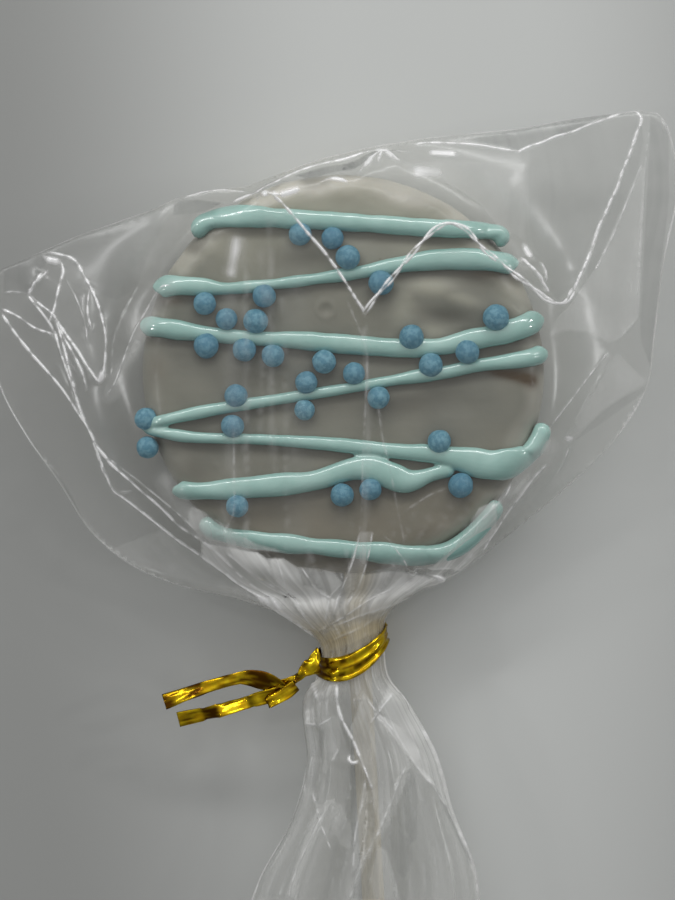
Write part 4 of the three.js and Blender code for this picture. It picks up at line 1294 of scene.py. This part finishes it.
def crease_lift(creases, x, y):
    """How far the creases lift the film at each point, and how much painted highlight it carries there."""
    lift, glitter = np.zeros(len(x)), np.zeros(len(x))
    for number, (fold, points) in enumerate(creases):
        line, gone = even_line(points, 0.6)
        near = in_box(line, 3 * fold.reach, x, y)
        along, offset = beside(line, x[near], y[near])
        whole = gone[-1]
        taper = np.sin(math.pi * np.clip(along / whole, 0.0, 1.0)) ** 0.5
        ends = smoothstep(np.minimum(along, whole - along), -0.3, min(1.0, whole / 3))
        uneven = 1 + 0.25 * ripple(along, 0, 5.5, number)
        rise = fold.ridge * taper * np.exp(-np.abs(offset) / fold.reach)
        bright = np.zeros(len(along))
        for strand in range(fold.lines):
            sway = TWINE * (fold.lines - 1) * np.sin(along / 1.9 + strand * math.pi + number)
            pinched = ends * uneven * bell(offset - sway, fold.fine)
            broken = smoothstep(ripple(along, 9 * strand, 2.0, number + 200), -0.9, 0.6)
            broken = np.maximum(broken, float(fold.ridge <= GLINT.ridge))
            rise += fold.pinch * pinched
            bright = np.maximum(bright, fold.glitter * pinched * (0.15 + 0.85 * broken))
        lift[near] += rise
        glitter[near] = np.maximum(glitter[near], bright)
    return lift, np.clip(glitter, 0, 1)


def pleat_lift(reach, along, side):
    """The sharp pleats of the gathered film, from the gather through the neck into the skirt."""
    line = along * LAST_LINE
    across = film_across(reach, along)
    draw = np.random.default_rng(71 if side > 0 else 72)
    lift, glitter = np.zeros(len(reach)), np.zeros(len(reach))
    tight = smoothstep(line, GATHER_LINE - 1.5, NECK_LINE - 1) * (1 - 0.8 * smoothstep(line, 13, 15))
    loose = smoothstep(line, SKIRT_LINE, SKIRT_LINE + 2)
    for count, height, wide in PLEATS:
        phase, drift = draw.uniform(0, 1), draw.uniform(-0.8, 0.8)
        place = count * across / 2 + 0.05 * count * np.sin(3.1 * across + 7 * phase)
        place += phase + drift * along
        slopes = tent(place)
        lift += slopes * (height * tight + wide * loose)
        shine = smoothstep(ripple(line * 1.3, np.round(place) * 7.7, 2.5, int(count)), -0.2, 1.3)
        crest = smoothstep(np.abs(slopes), 1 - PLEAT_SHARE * count, 1)
        # Painted highlights along the pleats' crests.
        glitter = np.maximum(glitter, PLEAT_PAINTED_GLINT * shine * crest * (tight + 0.35 * loose))
    return lift * (1 - smoothstep(np.abs(across), 0.93, 1.0)), glitter


def veil_at(x, y):
    """How milky the film is at each point where it lies in several layers."""
    haze_and_painted_light = np.zeros(len(x))
    for points, width, strength in VEILS.values():
        along, offset = beside(even_line(from_photo(points), 1.0)[0], x, y)
        uneven = 0.7 + 0.3 * ripple(along / 3, offset * 1.5, 2.5, len(points))
        haze_and_painted_light = np.maximum(haze_and_painted_light, strength * uneven * bell(offset, width))
    return haze_and_painted_light


def haze_at(reach, along, side):
    """How milky the gathered film is, in streaks along its pleats."""
    line = along * LAST_LINE
    across = film_across(reach, along)
    streaks = ripple(across * 12, line * 0.4, 2.6, 81 + side) + 0.4 * ripple(across * 40, line, 2.6, 84)
    gathered = 0.6 * smoothstep(line, 7.8, 9.0) + 0.4 * smoothstep(line, 9.5, 11.2)
    gathered *= 0.8 + 0.4 * np.abs(across)
    opened = smoothstep(line, SKIRT_LINE - 0.5, SKIRT_LINE + 1.5)
    return HAZE * gathered * (1 - 0.7 * opened) * np.clip(0.64 + 0.22 * streaks, 0, 1)


def spread_triangles(reach, along):
    """Triangles between the points of a sheet, by how it lies spread out."""
    flat = [Vector(point) for point in np.stack(sheet_plan(reach, along), axis=1).tolist()]
    _, _, triangles, sources, _, _ = delaunay_2d_cdt(flat, [], [], 0, 1e-7, True)
    faces = np.array([given[0] for given in sources])[np.array(triangles)]
    border = (np.abs(reach) > 0.9999) | (along < 1e-6) | (along > 1 - 1e-6)
    return faces[~border[faces].all(axis=1)]


def vertex_normals(points, faces):
    normals = np.zeros_like(points)
    a, b, c = (points[faces[:, i]] for i in range(3))
    facing = np.cross(b - a, c - a)
    for i in range(3):
        np.add.at(normals, faces[:, i], facing)
    return unit(normals)


def thinned(places, cell):
    """One of the points in each cell of that size."""
    _, first = np.unique(np.round(places / cell).astype(int), axis=0, return_index=True)
    return places[np.sort(first)]


def with_strips(reach, along, creases):
    """The sheet's points with those along its creases put in place of the ones they come close to."""
    strips = thinned(strip_points(creases), 0.09)
    strip_reach, strip_along = film_place(strips[:, 0], strips[:, 1])
    inside = (np.abs(strip_reach) < 0.995) & (strip_along > 0.002) & (strip_along < 0.998)
    taken = set(map(tuple, np.floor(strips[inside] / STRIP_CELL).astype(int).tolist()))
    spots = np.floor(np.stack(film_plan(reach, along), axis=1) / STRIP_CELL).astype(int).tolist()
    border = (np.abs(reach) > 0.9999) | (along < 1e-6) | (along > 1 - 1e-6)
    keep = border | np.array([tuple(spot) not in taken for spot in spots])
    return tuple(
        np.concatenate((plain[keep], strip[inside]))
        for plain, strip in ((reach, strip_reach), (along, strip_along))
    )


def film_sheet(name, side, spacing, creases, material):
    """One of the bag's two sheets of film."""
    reach, along = sheet_grid(spacing)
    if creases:
        reach, along = with_strips(reach, along, creases)
    line = along * LAST_LINE
    faces = spread_triangles(reach, along)
    base = film_base(reach, along, side)
    x, y = base[:, 0], base[:, 1]
    folds, glitter = crease_lift(creases, x, y)
    pleats, pleat_painted_glint = pleat_lift(reach, along, side)
    left_x, _, right_x, *_ = lines_at(along)
    from_side = (1 - np.abs(reach)) * (right_x - left_x) / 2
    outline = np.maximum(bell(from_side, EDGE_FINE), 0.6 * bell(line, EDGE_FINE / 3))
    # Painted highlights along the sheet's edges.
    seam = EDGE_PAINTED_GLINT * smoothstep(ripple(x, y, 14, 47), -1.0, 1.0) * outline
    glitter = np.maximum(np.maximum(glitter, pleat_painted_glint), seam)
    open_film = 1 - smoothstep(line, GATHER_LINE, NECK_LINE)
    off_disc = 0.25 + 0.75 * smoothstep(np.hypot(x, y), 33, 42)
    swell = swells(x, y, ((0.24, 26, 41 + side), (0.05, 9, 43 + side)))
    rise = folds + pleats + open_film * swell * off_disc
    edge = smoothstep(1 - np.abs(reach), 0, 0.02) * smoothstep(along, 0, 0.01)
    normals = vertex_normals(base, faces)
    up = np.where(normals[:, 2:] < 0, -normals, normals)
    points = base + side * up * (rise * edge)[:, None]
    points[:, 2] = np.maximum(points[:, 2], BACK_FILM / 2)
    piece = mesh_object(name, points, faces[:, ::side].tolist(), material)
    # Haze of the gathered layers, and painted light along the sheet's edges.
    haze_and_painted_light = haze_at(reach, along, side) + EDGE_PAINTED_LIGHT * outline
    dark = np.zeros(len(x))
    if side > 0:
        hazy_painted_light, dark = painted_facets_at(x, y)
        haze_and_painted_light = 1 - (1 - np.clip(haze_and_painted_light + veil_at(x, y), 0, 1)) * (1 - hazy_painted_light)
    _, from_stick = beside(STICK_LINE, x, y)
    # Stored for the material: the milky mask is haze with the flat places' painted light, and the dark
    # share is painted shade and dark reflection.
    store(piece, {
        "haze_and_painted_light": np.clip(1 - (1 - haze_and_painted_light) * (1 - dark), 0, 0.9),
        "painted_shade_and_reflection": dark / np.maximum(haze_and_painted_light + dark, 1e-3),
        "glitter": np.clip(glitter, 0, 0.95),
        # Painted reflection of the tie's gold at the neck, and the stick showing through along it.
        "warm": np.maximum(bell(line - WARM_LINE, 1.1), 0.6 * bell(from_stick, 1.8)),
        "fan": FAN_WIDTH * film_across(reach, along),
        "run": FAN_STEP * along * LAST_LINE,
    })
    declare(piece, "film", "bag")


def build_bag(settings):
    material = film_material(settings)
    creases = [(fold, from_photo(points)) for fold, points in CREASES.values()]
    film_sheet("film_front", 1, settings.spacing / MM, creases, material)
    film_sheet("film_back", -1, BACK_SPACING * settings.spacing / MM, [], material)


# The twist tie

LOOP_CENTRE = np.array((-1.2, -48.3, MIDDLE))
LOOP_REACH = 6.6
LOOP_DEPTH = 5.8
LOOP_SLANT = math.radians(20)
LOOP_DIP = 1.9
LOOP_SAG = 1.0
LOOP_COLUMNS = 13
LOOP_STEPS = 260
STRIP_COLUMNS = 9
CRINKLE = 0.07


def skins(over, under):
    """The two skins of a foil as rings of points, and the numbers of their points."""
    rings = np.concatenate((over, under[:, ::-1]), axis=1)
    return rings, np.arange(rings.shape[0] * rings.shape[1]).reshape(rings.shape[:2])


def both_sides(shade):
    return np.concatenate((shade, shade[:, ::-1]), axis=1).ravel()


def strip_body(strip, thickness, seed):
    """A length of foil along a strip's points, and its painted shade and dark reflection at each point of
    it.
    """
    line, gone = even_line(from_photo(strip), 0.25, plan=3)
    middle, width, roll, shade = line[:, :3], line[:, 3:4], np.radians(line[:, 4:5]), line[:, 5:]
    gone = gone[:, None]
    ahead = unit(np.gradient(middle, axis=0))
    flat = unit(np.cross(ahead, (0, 0, 1.0)))
    across = np.cos(roll) * flat + np.sin(roll) * np.cross(flat, ahead)
    out = np.cross(across, ahead)[:, None, :]
    here = np.linspace(-0.5, 0.5, STRIP_COLUMNS) * width
    ruffle = CRINKLE * ripple(gone / 2.5, here * 1.5, 2.2, seed)
    ruffle += 0.4 * CRINKLE * ripple(gone / 1.5, here * 3, 2.0, seed + 1)
    sheet = middle[:, None, :] + here[:, :, None] * across[:, None, :] + ruffle[:, :, None] * out
    rings, here_numbers = skins(sheet + out * thickness / 2, sheet - out * thickness / 2)
    faces = ring_quads(here_numbers, np.roll(here_numbers, -1, axis=1))
    for ring, flip in ((here_numbers[0], True), (here_numbers[-1], False)):
        folded = np.stack((ring[:STRIP_COLUMNS], ring[:STRIP_COLUMNS - 1:-1]))
        faces += ring_quads(folded[:, :-1], folded[:, 1:], flip)
    streaked = shade + 0.35 * ripple(gone / 4, here * 1.6, 1.2, seed + 2)
    return rings.reshape(-1, 3), faces, both_sides(streaked)


def loop_body(settings):
    """The strip round the neck: slanting up to the right, its front dipping towards the skirt."""
    turns, cos, sin = (values[:, None] for values in circle(LOOP_STEPS))
    share = np.linspace(-1, 1, LOOP_COLUMNS)[None, :]
    crease = 0.17 * np.sin(7.5 * share + 0.8 * np.sin(2 * turns) + 0.5)
    crease = crease + 0.09 * np.sin(16 * share - 3 * turns) + 0.05 * np.sin(5 * turns)
    crease = crease + 0.06 * ripple(turns * 3, share * 3, 2.0, 51)
    out = crease + (0.32 * bell(share - 0.8, 0.16) + 0.2 * bell(share + 0.4 - 0.2 * sin, 0.1))
    wide = share * settings.width / MM / 2 * (1.12 - 0.3 * cos**2)
    hang = wide + LOOP_DIP * sin + LOOP_SAG * sin**2
    sideways = np.array((math.cos(LOOP_SLANT), math.sin(LOOP_SLANT), 0))
    sheets = []
    for skin in (0.5, -0.5):
        reach = out + skin * settings.thickness / MM
        places = LOOP_CENTRE + ((LOOP_REACH + reach) * cos)[:, :, None] * sideways
        places[:, :, 2] += (LOOP_DEPTH + reach) * sin
        places[:, :, 1] -= hang
        sheets.append(places)
    rings, here = skins(*sheets)
    here = np.vstack((here, here[:1]))
    faces = ring_quads(here, np.roll(here, -1, axis=1), flip=True)
    # Painted dark reflections and shade: streaks along the band, darker toward the knot, plainer at the
    # right end.
    lines = 0.8 * bell(share - 0.02 - 0.12 * np.sin(2 * turns), 0.1) + 0.6 * bell(share + 0.6, 0.07)
    lines = lines + 0.8 * bell(share - 0.6, 0.1)
    lines = lines + 0.6 * smoothstep(ripple(turns * 4, share * 2.5, 1.7, 53), 0.2, 0.9)
    knotted = 0.7 * smoothstep(-cos, 0.55, 0.9)
    shade = lerp(0.15 + lines, 0.35, smoothstep(cos, 0.55, 0.85)) + knotted
    return rings.reshape(-1, 3), faces, both_sides(shade)


def build_tie(settings):
    bodies = [loop_body(settings)]
    for seed, strip in enumerate((ROOT, FLAG, UPPER_TAIL, LOWER_TAIL, KNOT)):
        bodies.append(strip_body(strip, settings.thickness / MM, 60 + 3 * seed))
    points, faces, shades = joined(bodies)
    piece = mesh_object("foil_tie", points, faces, foil_material(settings))
    # The stored values are painted shade and dark reflection on the gold.
    store(piece, {"shade": np.clip(shades, 0, 1)})
    declare(piece, "foil", "twist_tie")


# The stage

FLOOR_HALF = 1.25
VIEW_CENTRE = (-1.75, -13.4, 0)
SENSOR_HEIGHT = 24
LIGHT_DISTANCE = 0.6
LAMP_TURNS = [math.radians(degrees) for degrees in (-92, -66, 62, 90)]
FILM_BOUNCES = 40


def area_light(name, turn, tilt, length, width, radiance):
    """A rectangular light round the pop, turned from +Y and tilted from overhead."""
    light = bpy.data.lights.new(name, "AREA")
    light.shape = "RECTANGLE"
    light.size, light.size_y = length, width
    light.energy = radiance * math.pi * light.size * light.size_y
    lamp = linked(name, light)
    way = Vector((math.sin(turn) * math.sin(tilt), math.cos(turn) * math.sin(tilt), math.cos(tilt)))
    lamp.location = Vector(ORIGIN) + Vector((0, 0, FRONT * MM)) + LIGHT_DISTANCE * way
    lamp.rotation_euler = way.to_track_quat("Z", "Y").to_euler()


def sky(settings):
    """A dim sky with a soft glow beyond the top of the picture."""
    world = bpy.data.worlds.new("sky")
    bpy.context.scene.world = world
    world.use_nodes = True
    tree = world.node_tree
    tree.nodes.clear()
    way = output(tree, "ShaderNodeTexCoord")
    towards = {0: way, 1: (0, math.sin(settings.glow_tilt), math.cos(settings.glow_tilt))}
    nearness = add_node(tree, "ShaderNodeVectorMath", towards, operation="DOT_PRODUCT").outputs["Value"]
    share = output(tree, "ShaderNodeMapRange", {"Value": nearness, "From Min": -1.0})
    fading = maths(tree, "POWER", share, settings.glow_power)
    glow = maths(tree, "MULTIPLY_ADD", fading, settings.glow, settings.sky)
    finish(tree, output(tree, "ShaderNodeBackground", {"Strength": glow}), "ShaderNodeOutputWorld")


def photo_camera(settings):
    """The photograph's view, straight down on the pop."""
    camera = bpy.data.cameras.new("camera")
    camera.sensor_fit = "VERTICAL"
    camera.sensor_height = SENSOR_HEIGHT
    camera.lens = SENSOR_HEIGHT * settings.camera_distance / settings.view_height
    camera.clip_start = 0.01
    view = linked("camera", camera)
    centre = ORIGIN + np.array(VIEW_CENTRE) * MM
    view.location = (centre[0], centre[1], FRONT * MM + settings.camera_distance)
    view.rotation_euler = (0, 0, -PHOTO_TURN)
    bpy.context.scene.camera = view


def build_stage(settings):
    """A pale floor, a low window of panels, a few lamps, a dim sky and the photograph's camera."""
    corners = np.array([(-1, -1, 0), (1, -1, 0), (1, 1, 0), (-1, 1, 0)]) * FLOOR_HALF
    mesh_object("floor", (corners - ORIGIN) / MM, [(0, 1, 2, 3)], floor_material(settings))
    length, width, wide = settings.panel_length, settings.panel_width, settings.lamp_width
    for number in range(settings.panels):
        turn = settings.window_spread * (2 * number / (settings.panels - 1) - 1)
        area_light(f"panel {number}", turn, settings.window_tilt, length, width, settings.window_radiance)
    for number, turn in enumerate(LAMP_TURNS):
        area_light(f"lamp {number}", turn, settings.lamp_tilt, wide, wide, settings.lamp_radiance)
    sky(settings)
    photo_camera(settings)
    bpy.context.scene.view_settings.view_transform = "Standard"
    bpy.context.scene.cycles.transparent_max_bounces = FILM_BOUNCES


# What a user would change


def number(name, description, default, **settings):
    settings = {"min": 0, **settings}
    return bpy.props.FloatProperty(name=name, description=description, default=default, **settings)


def length(name, description, default):
    return number(name, description, default, unit="LENGTH", precision=5)


def share(name, description, default):
    return number(name, description, default, max=1, subtype="FACTOR")


def angle(name, description, degrees):
    return number(name, description, math.radians(degrees), max=FULL_TURN, subtype="ANGLE")


def count(name, description, default, **limits):
    return bpy.props.IntProperty(name=name, description=description, default=default, **limits)


def colour(name, description, default):
    return bpy.props.FloatVectorProperty(
        name=name, description=description, default=default, subtype="COLOR", min=0, max=1
    )


class CoatingSettings(bpy.types.PropertyGroup):
    colour: colour("Colour", "Colour of the dipped coating", (0.255, 0.25, 0.205))
    shade: colour("Shade", "Its slightly darker clouds", (0.205, 0.205, 0.17))
    # Top, Low and Rim are painted light and shade: lighter toward the top end and round the rim, darker
    # and browner toward the stick.
    top: colour("Top", "Its lighter top end", (0.44, 0.43, 0.35))
    low: colour("Low", "Its browner end at the stick", (0.23, 0.205, 0.155))
    rim: colour("Rim", "Its lighter rim", (0.64, 0.62, 0.55))
    # Dark is painted shade, in hollows and below the drizzle and pearls.
    dark: colour("Dark", "Where it is darkest, in hollows and below the drizzle", (0.06, 0.055, 0.04))
    # Painted shade, near black, just below some strands and in a few spots.
    thin: colour("Thin", "Where it is thin over the cake", (0.07, 0.04, 0.01))
    speck: colour("Specks", "Its few darker specks", (0.2, 0.17, 0.13))
    rim_bumps: length("Rim bumps", "Height of the small bumps round the rim", 1 * MM)


class DrizzleSettings(bpy.types.PropertyGroup):
    colour: colour("Colour", "Colour of the drizzle", (0.34, 0.6, 0.54))
    pale: colour("Pale", "Its paler clouds", (0.42, 0.68, 0.62))
    deep: colour("Deep", "Its lower sides, turned from the light", (0.17, 0.37, 0.34))
    fineness: length("Fineness", "Size of the cells that the strands are melted in", 0.24 * MM)


class PearlSettings(bpy.types.PropertyGroup):
    colour: colour("Colour", "Colour of the sugar pearls", (0.1, 0.28, 0.38))
    pale: colour("Pale", "Their chalky patches", (0.19, 0.41, 0.51))
    deep: colour("Deep", "The deeper shade that some have", (0.065, 0.215, 0.33))
    unevenness: length("Unevenness", "How far their surface strays from a ball", 0.35 * MM)
    tone: share("Tone", "How much the shade differs", 0.6)
    rounds: count("Rounds", "Subdivisions of each ball", 4, min=2, max=5)
    seed: count("Seed", "Which draw of shades", 5, min=0)


class StickSettings(bpy.types.PropertyGroup):
    colour: colour("Colour", "Colour of the paper", (0.66, 0.62, 0.52))
    shade: colour("Shade", "The shade of its fibres", (0.56, 0.52, 0.42))
    ply: length("Ply", "Thickness of one turn of paper", 0.12 * MM)


class BagSettings(bpy.types.PropertyGroup):
    tint: colour("Tint", "What the film lets through", (0.985, 0.985, 0.98))
    # Colour of the haze and of the painted light on the flat places.
    haze_and_painted_light_colour: colour("Cloud", "Colour of its milky places", (0.88, 0.885, 0.865))
    # Painted reflection of the tie's gold at the neck, with the stick showing through.
    warm: colour("Warm", "Colour of its milky places over the stick at the neck", (0.5, 0.43, 0.28))
    # Painted shade and dark reflection on the flat places.
    painted_shade_and_reflection: colour("Smoke", "Colour of its darker places", (0.12, 0.13, 0.125))
    # Painted highlights along the creases.
    painted_glint_colour: colour("Crazed", "Colour of its sharp creases", (1.0, 1.0, 1.0))
    flash: share("Flash", "How far sharp creases mirror", 0.25)
    crumple: length("Crumple", "Size of the specks that sparkle along a crease", 0.4 * MM)
    streak: length("Streak", "Width of the streaks in its milky places", 2.4 * MM)
    streaky: share("Streaky", "How uneven those streaks are", 0.22)
    reflectance: share("Reflectance", "Share mirrored head on", 0.06)
    wrinkle: length("Wrinkle", "Depth of the finest wrinkles", 0.05 * MM)
    spacing: length("Spacing", "Distance between the points of the film away from its creases", 0.9 * MM)


class TieSettings(bpy.types.PropertyGroup):
    colour: colour("Colour", "Colour of the foil", (0.93, 0.68, 0.02))
    deep: colour("Deep", "The deeper gold of its clouds", (0.72, 0.43, 0.01))
    # Painted dark reflection and shade on the gold.
    brown: colour("Brown", "Its darkest streaks", (0.09, 0.035, 0.003))
    width: length("Width", "Width of the foil", 4.0 * MM)
    thickness: length("Thickness", "Thickness of the foil with its wire", 0.16 * MM)


class StageSettings(bpy.types.PropertyGroup):
    floor_colour: colour("Floor", "Colour of the floor", (0.65, 0.665, 0.65))
    # Painted shade of the floor away from its painted pool of light.
    floor_shade: colour("Floor shade", "The floor's darker side", (0.34, 0.345, 0.335))
    panels: count("Panels", "How many the window has", 5, min=2)
    panel_length: length("Panel length", "Length of a panel", 0.17)
    panel_width: length("Panel width", "Width of a panel", 0.06)
    window_radiance: number("Window radiance", "How bright the window is", 6.5)
    window_tilt: angle("Window tilt", "How far the window stands from overhead", 58)
    window_spread: angle("Window spread", "How far it reaches to each side", 36)
    lamp_width: length("Lamp width", "Width of a lamp", 0.025)
    lamp_radiance: number("Lamp radiance", "How bright the lamps are", 80)
    lamp_tilt: angle("Lamp tilt", "How far the lamps stand from overhead", 62)
    sky: number("Sky", "How bright the sky is where it is darkest", 0.28)
    glow: number("Glow", "How much brighter it is at its glow", 0.8)
    glow_tilt: angle("Glow tilt", "How far the glow's middle is from overhead", 56)
    glow_power: number("Glow power", "How soon the glow fades", 4)
    camera_distance: length("Camera distance", "From the pop's face to the camera", 0.7)
    view_height: length("View height", "How much the camera takes in, at the pop's face", 157.5 * MM)


class CakePopSettings(bpy.types.PropertyGroup):
    coating: bpy.props.PointerProperty(type=CoatingSettings)
    drizzle: bpy.props.PointerProperty(type=DrizzleSettings)
    pearls: bpy.props.PointerProperty(type=PearlSettings)
    stick: bpy.props.PointerProperty(type=StickSettings)
    bag: bpy.props.PointerProperty(type=BagSettings)
    tie: bpy.props.PointerProperty(type=TieSettings)
    stage: bpy.props.PointerProperty(type=StageSettings)


class CAKEPOP_OT_coating(bpy.types.Operator):
    """Builds the dipped body of the pop"""

    bl_idname = "cakepop.coating"
    bl_label = "Coating"

    def execute(self, context):
        build_coating(context.scene.cake_pop.coating)
        return {"FINISHED"}


class CAKEPOP_OT_drizzle(bpy.types.Operator):
    """Builds the strands of drizzle"""

    bl_idname = "cakepop.drizzle"
    bl_label = "Drizzle"

    def execute(self, context):
        build_drizzle(context.scene.cake_pop.drizzle)
        return {"FINISHED"}


class CAKEPOP_OT_pearls(bpy.types.Operator):
    """Builds the sugar pearls"""

    bl_idname = "cakepop.pearls"
    bl_label = "Sugar pearls"

    def execute(self, context):
        build_pearls(context.scene.cake_pop.pearls)
        return {"FINISHED"}


class CAKEPOP_OT_stick(bpy.types.Operator):
    """Builds the paper stick"""

    bl_idname = "cakepop.stick"
    bl_label = "Paper stick"

    def execute(self, context):
        build_stick(context.scene.cake_pop.stick)
        return {"FINISHED"}


class CAKEPOP_OT_bag(bpy.types.Operator):
    """Builds the clear bag's two sheets of film"""

    bl_idname = "cakepop.bag"
    bl_label = "Clear bag"

    def execute(self, context):
        build_bag(context.scene.cake_pop.bag)
        return {"FINISHED"}


class CAKEPOP_OT_tie(bpy.types.Operator):
    """Builds the foil twist tie"""

    bl_idname = "cakepop.tie"
    bl_label = "Twist tie"

    def execute(self, context):
        build_tie(context.scene.cake_pop.tie)
        return {"FINISHED"}


class CAKEPOP_OT_stage(bpy.types.Operator):
    """Builds the floor, the lights and the camera"""

    bl_idname = "cakepop.stage"
    bl_label = "Stage"

    def execute(self, context):
        build_stage(context.scene.cake_pop.stage)
        return {"FINISHED"}


OPERATORS = (
    CAKEPOP_OT_coating, CAKEPOP_OT_drizzle, CAKEPOP_OT_pearls, CAKEPOP_OT_stick, CAKEPOP_OT_bag,
    CAKEPOP_OT_tie, CAKEPOP_OT_stage,
)


class CAKEPOP_PT_panel(bpy.types.Panel):
    """Lists the pieces of the cake pop and their settings"""

    bl_idname = "CAKEPOP_PT_panel"
    bl_label = "Cake pop"
    bl_space_type = "VIEW_3D"
    bl_region_type = "UI"
    bl_category = "Cake pop"

    def draw(self, context):
        settings = context.scene.cake_pop
        for operator in OPERATORS:
            group = getattr(settings, operator.bl_idname.split(".")[1])
            box = self.layout.box()
            box.operator(operator.bl_idname)
            for name in group.__annotations__:
                box.prop(group, name)


CLASSES = (
    CoatingSettings, DrizzleSettings, PearlSettings, StickSettings, BagSettings, TieSettings,
    StageSettings, CakePopSettings, *OPERATORS, CAKEPOP_PT_panel,
)


def register():
    for each in CLASSES:
        bpy.utils.register_class(each)
    bpy.types.Scene.cake_pop = bpy.props.PointerProperty(type=CakePopSettings)


def unregister():
    del bpy.types.Scene.cake_pop
    for each in reversed(CLASSES):
        bpy.utils.unregister_class(each)


def main():
    register()
    bpy.ops.cakepop.coating()
    bpy.ops.cakepop.drizzle()
    bpy.ops.cakepop.pearls()
    bpy.ops.cakepop.stick()
    bpy.ops.cakepop.bag()
    bpy.ops.cakepop.tie()
    bpy.ops.cakepop.stage()


if __name__ == "__main__":
    main()
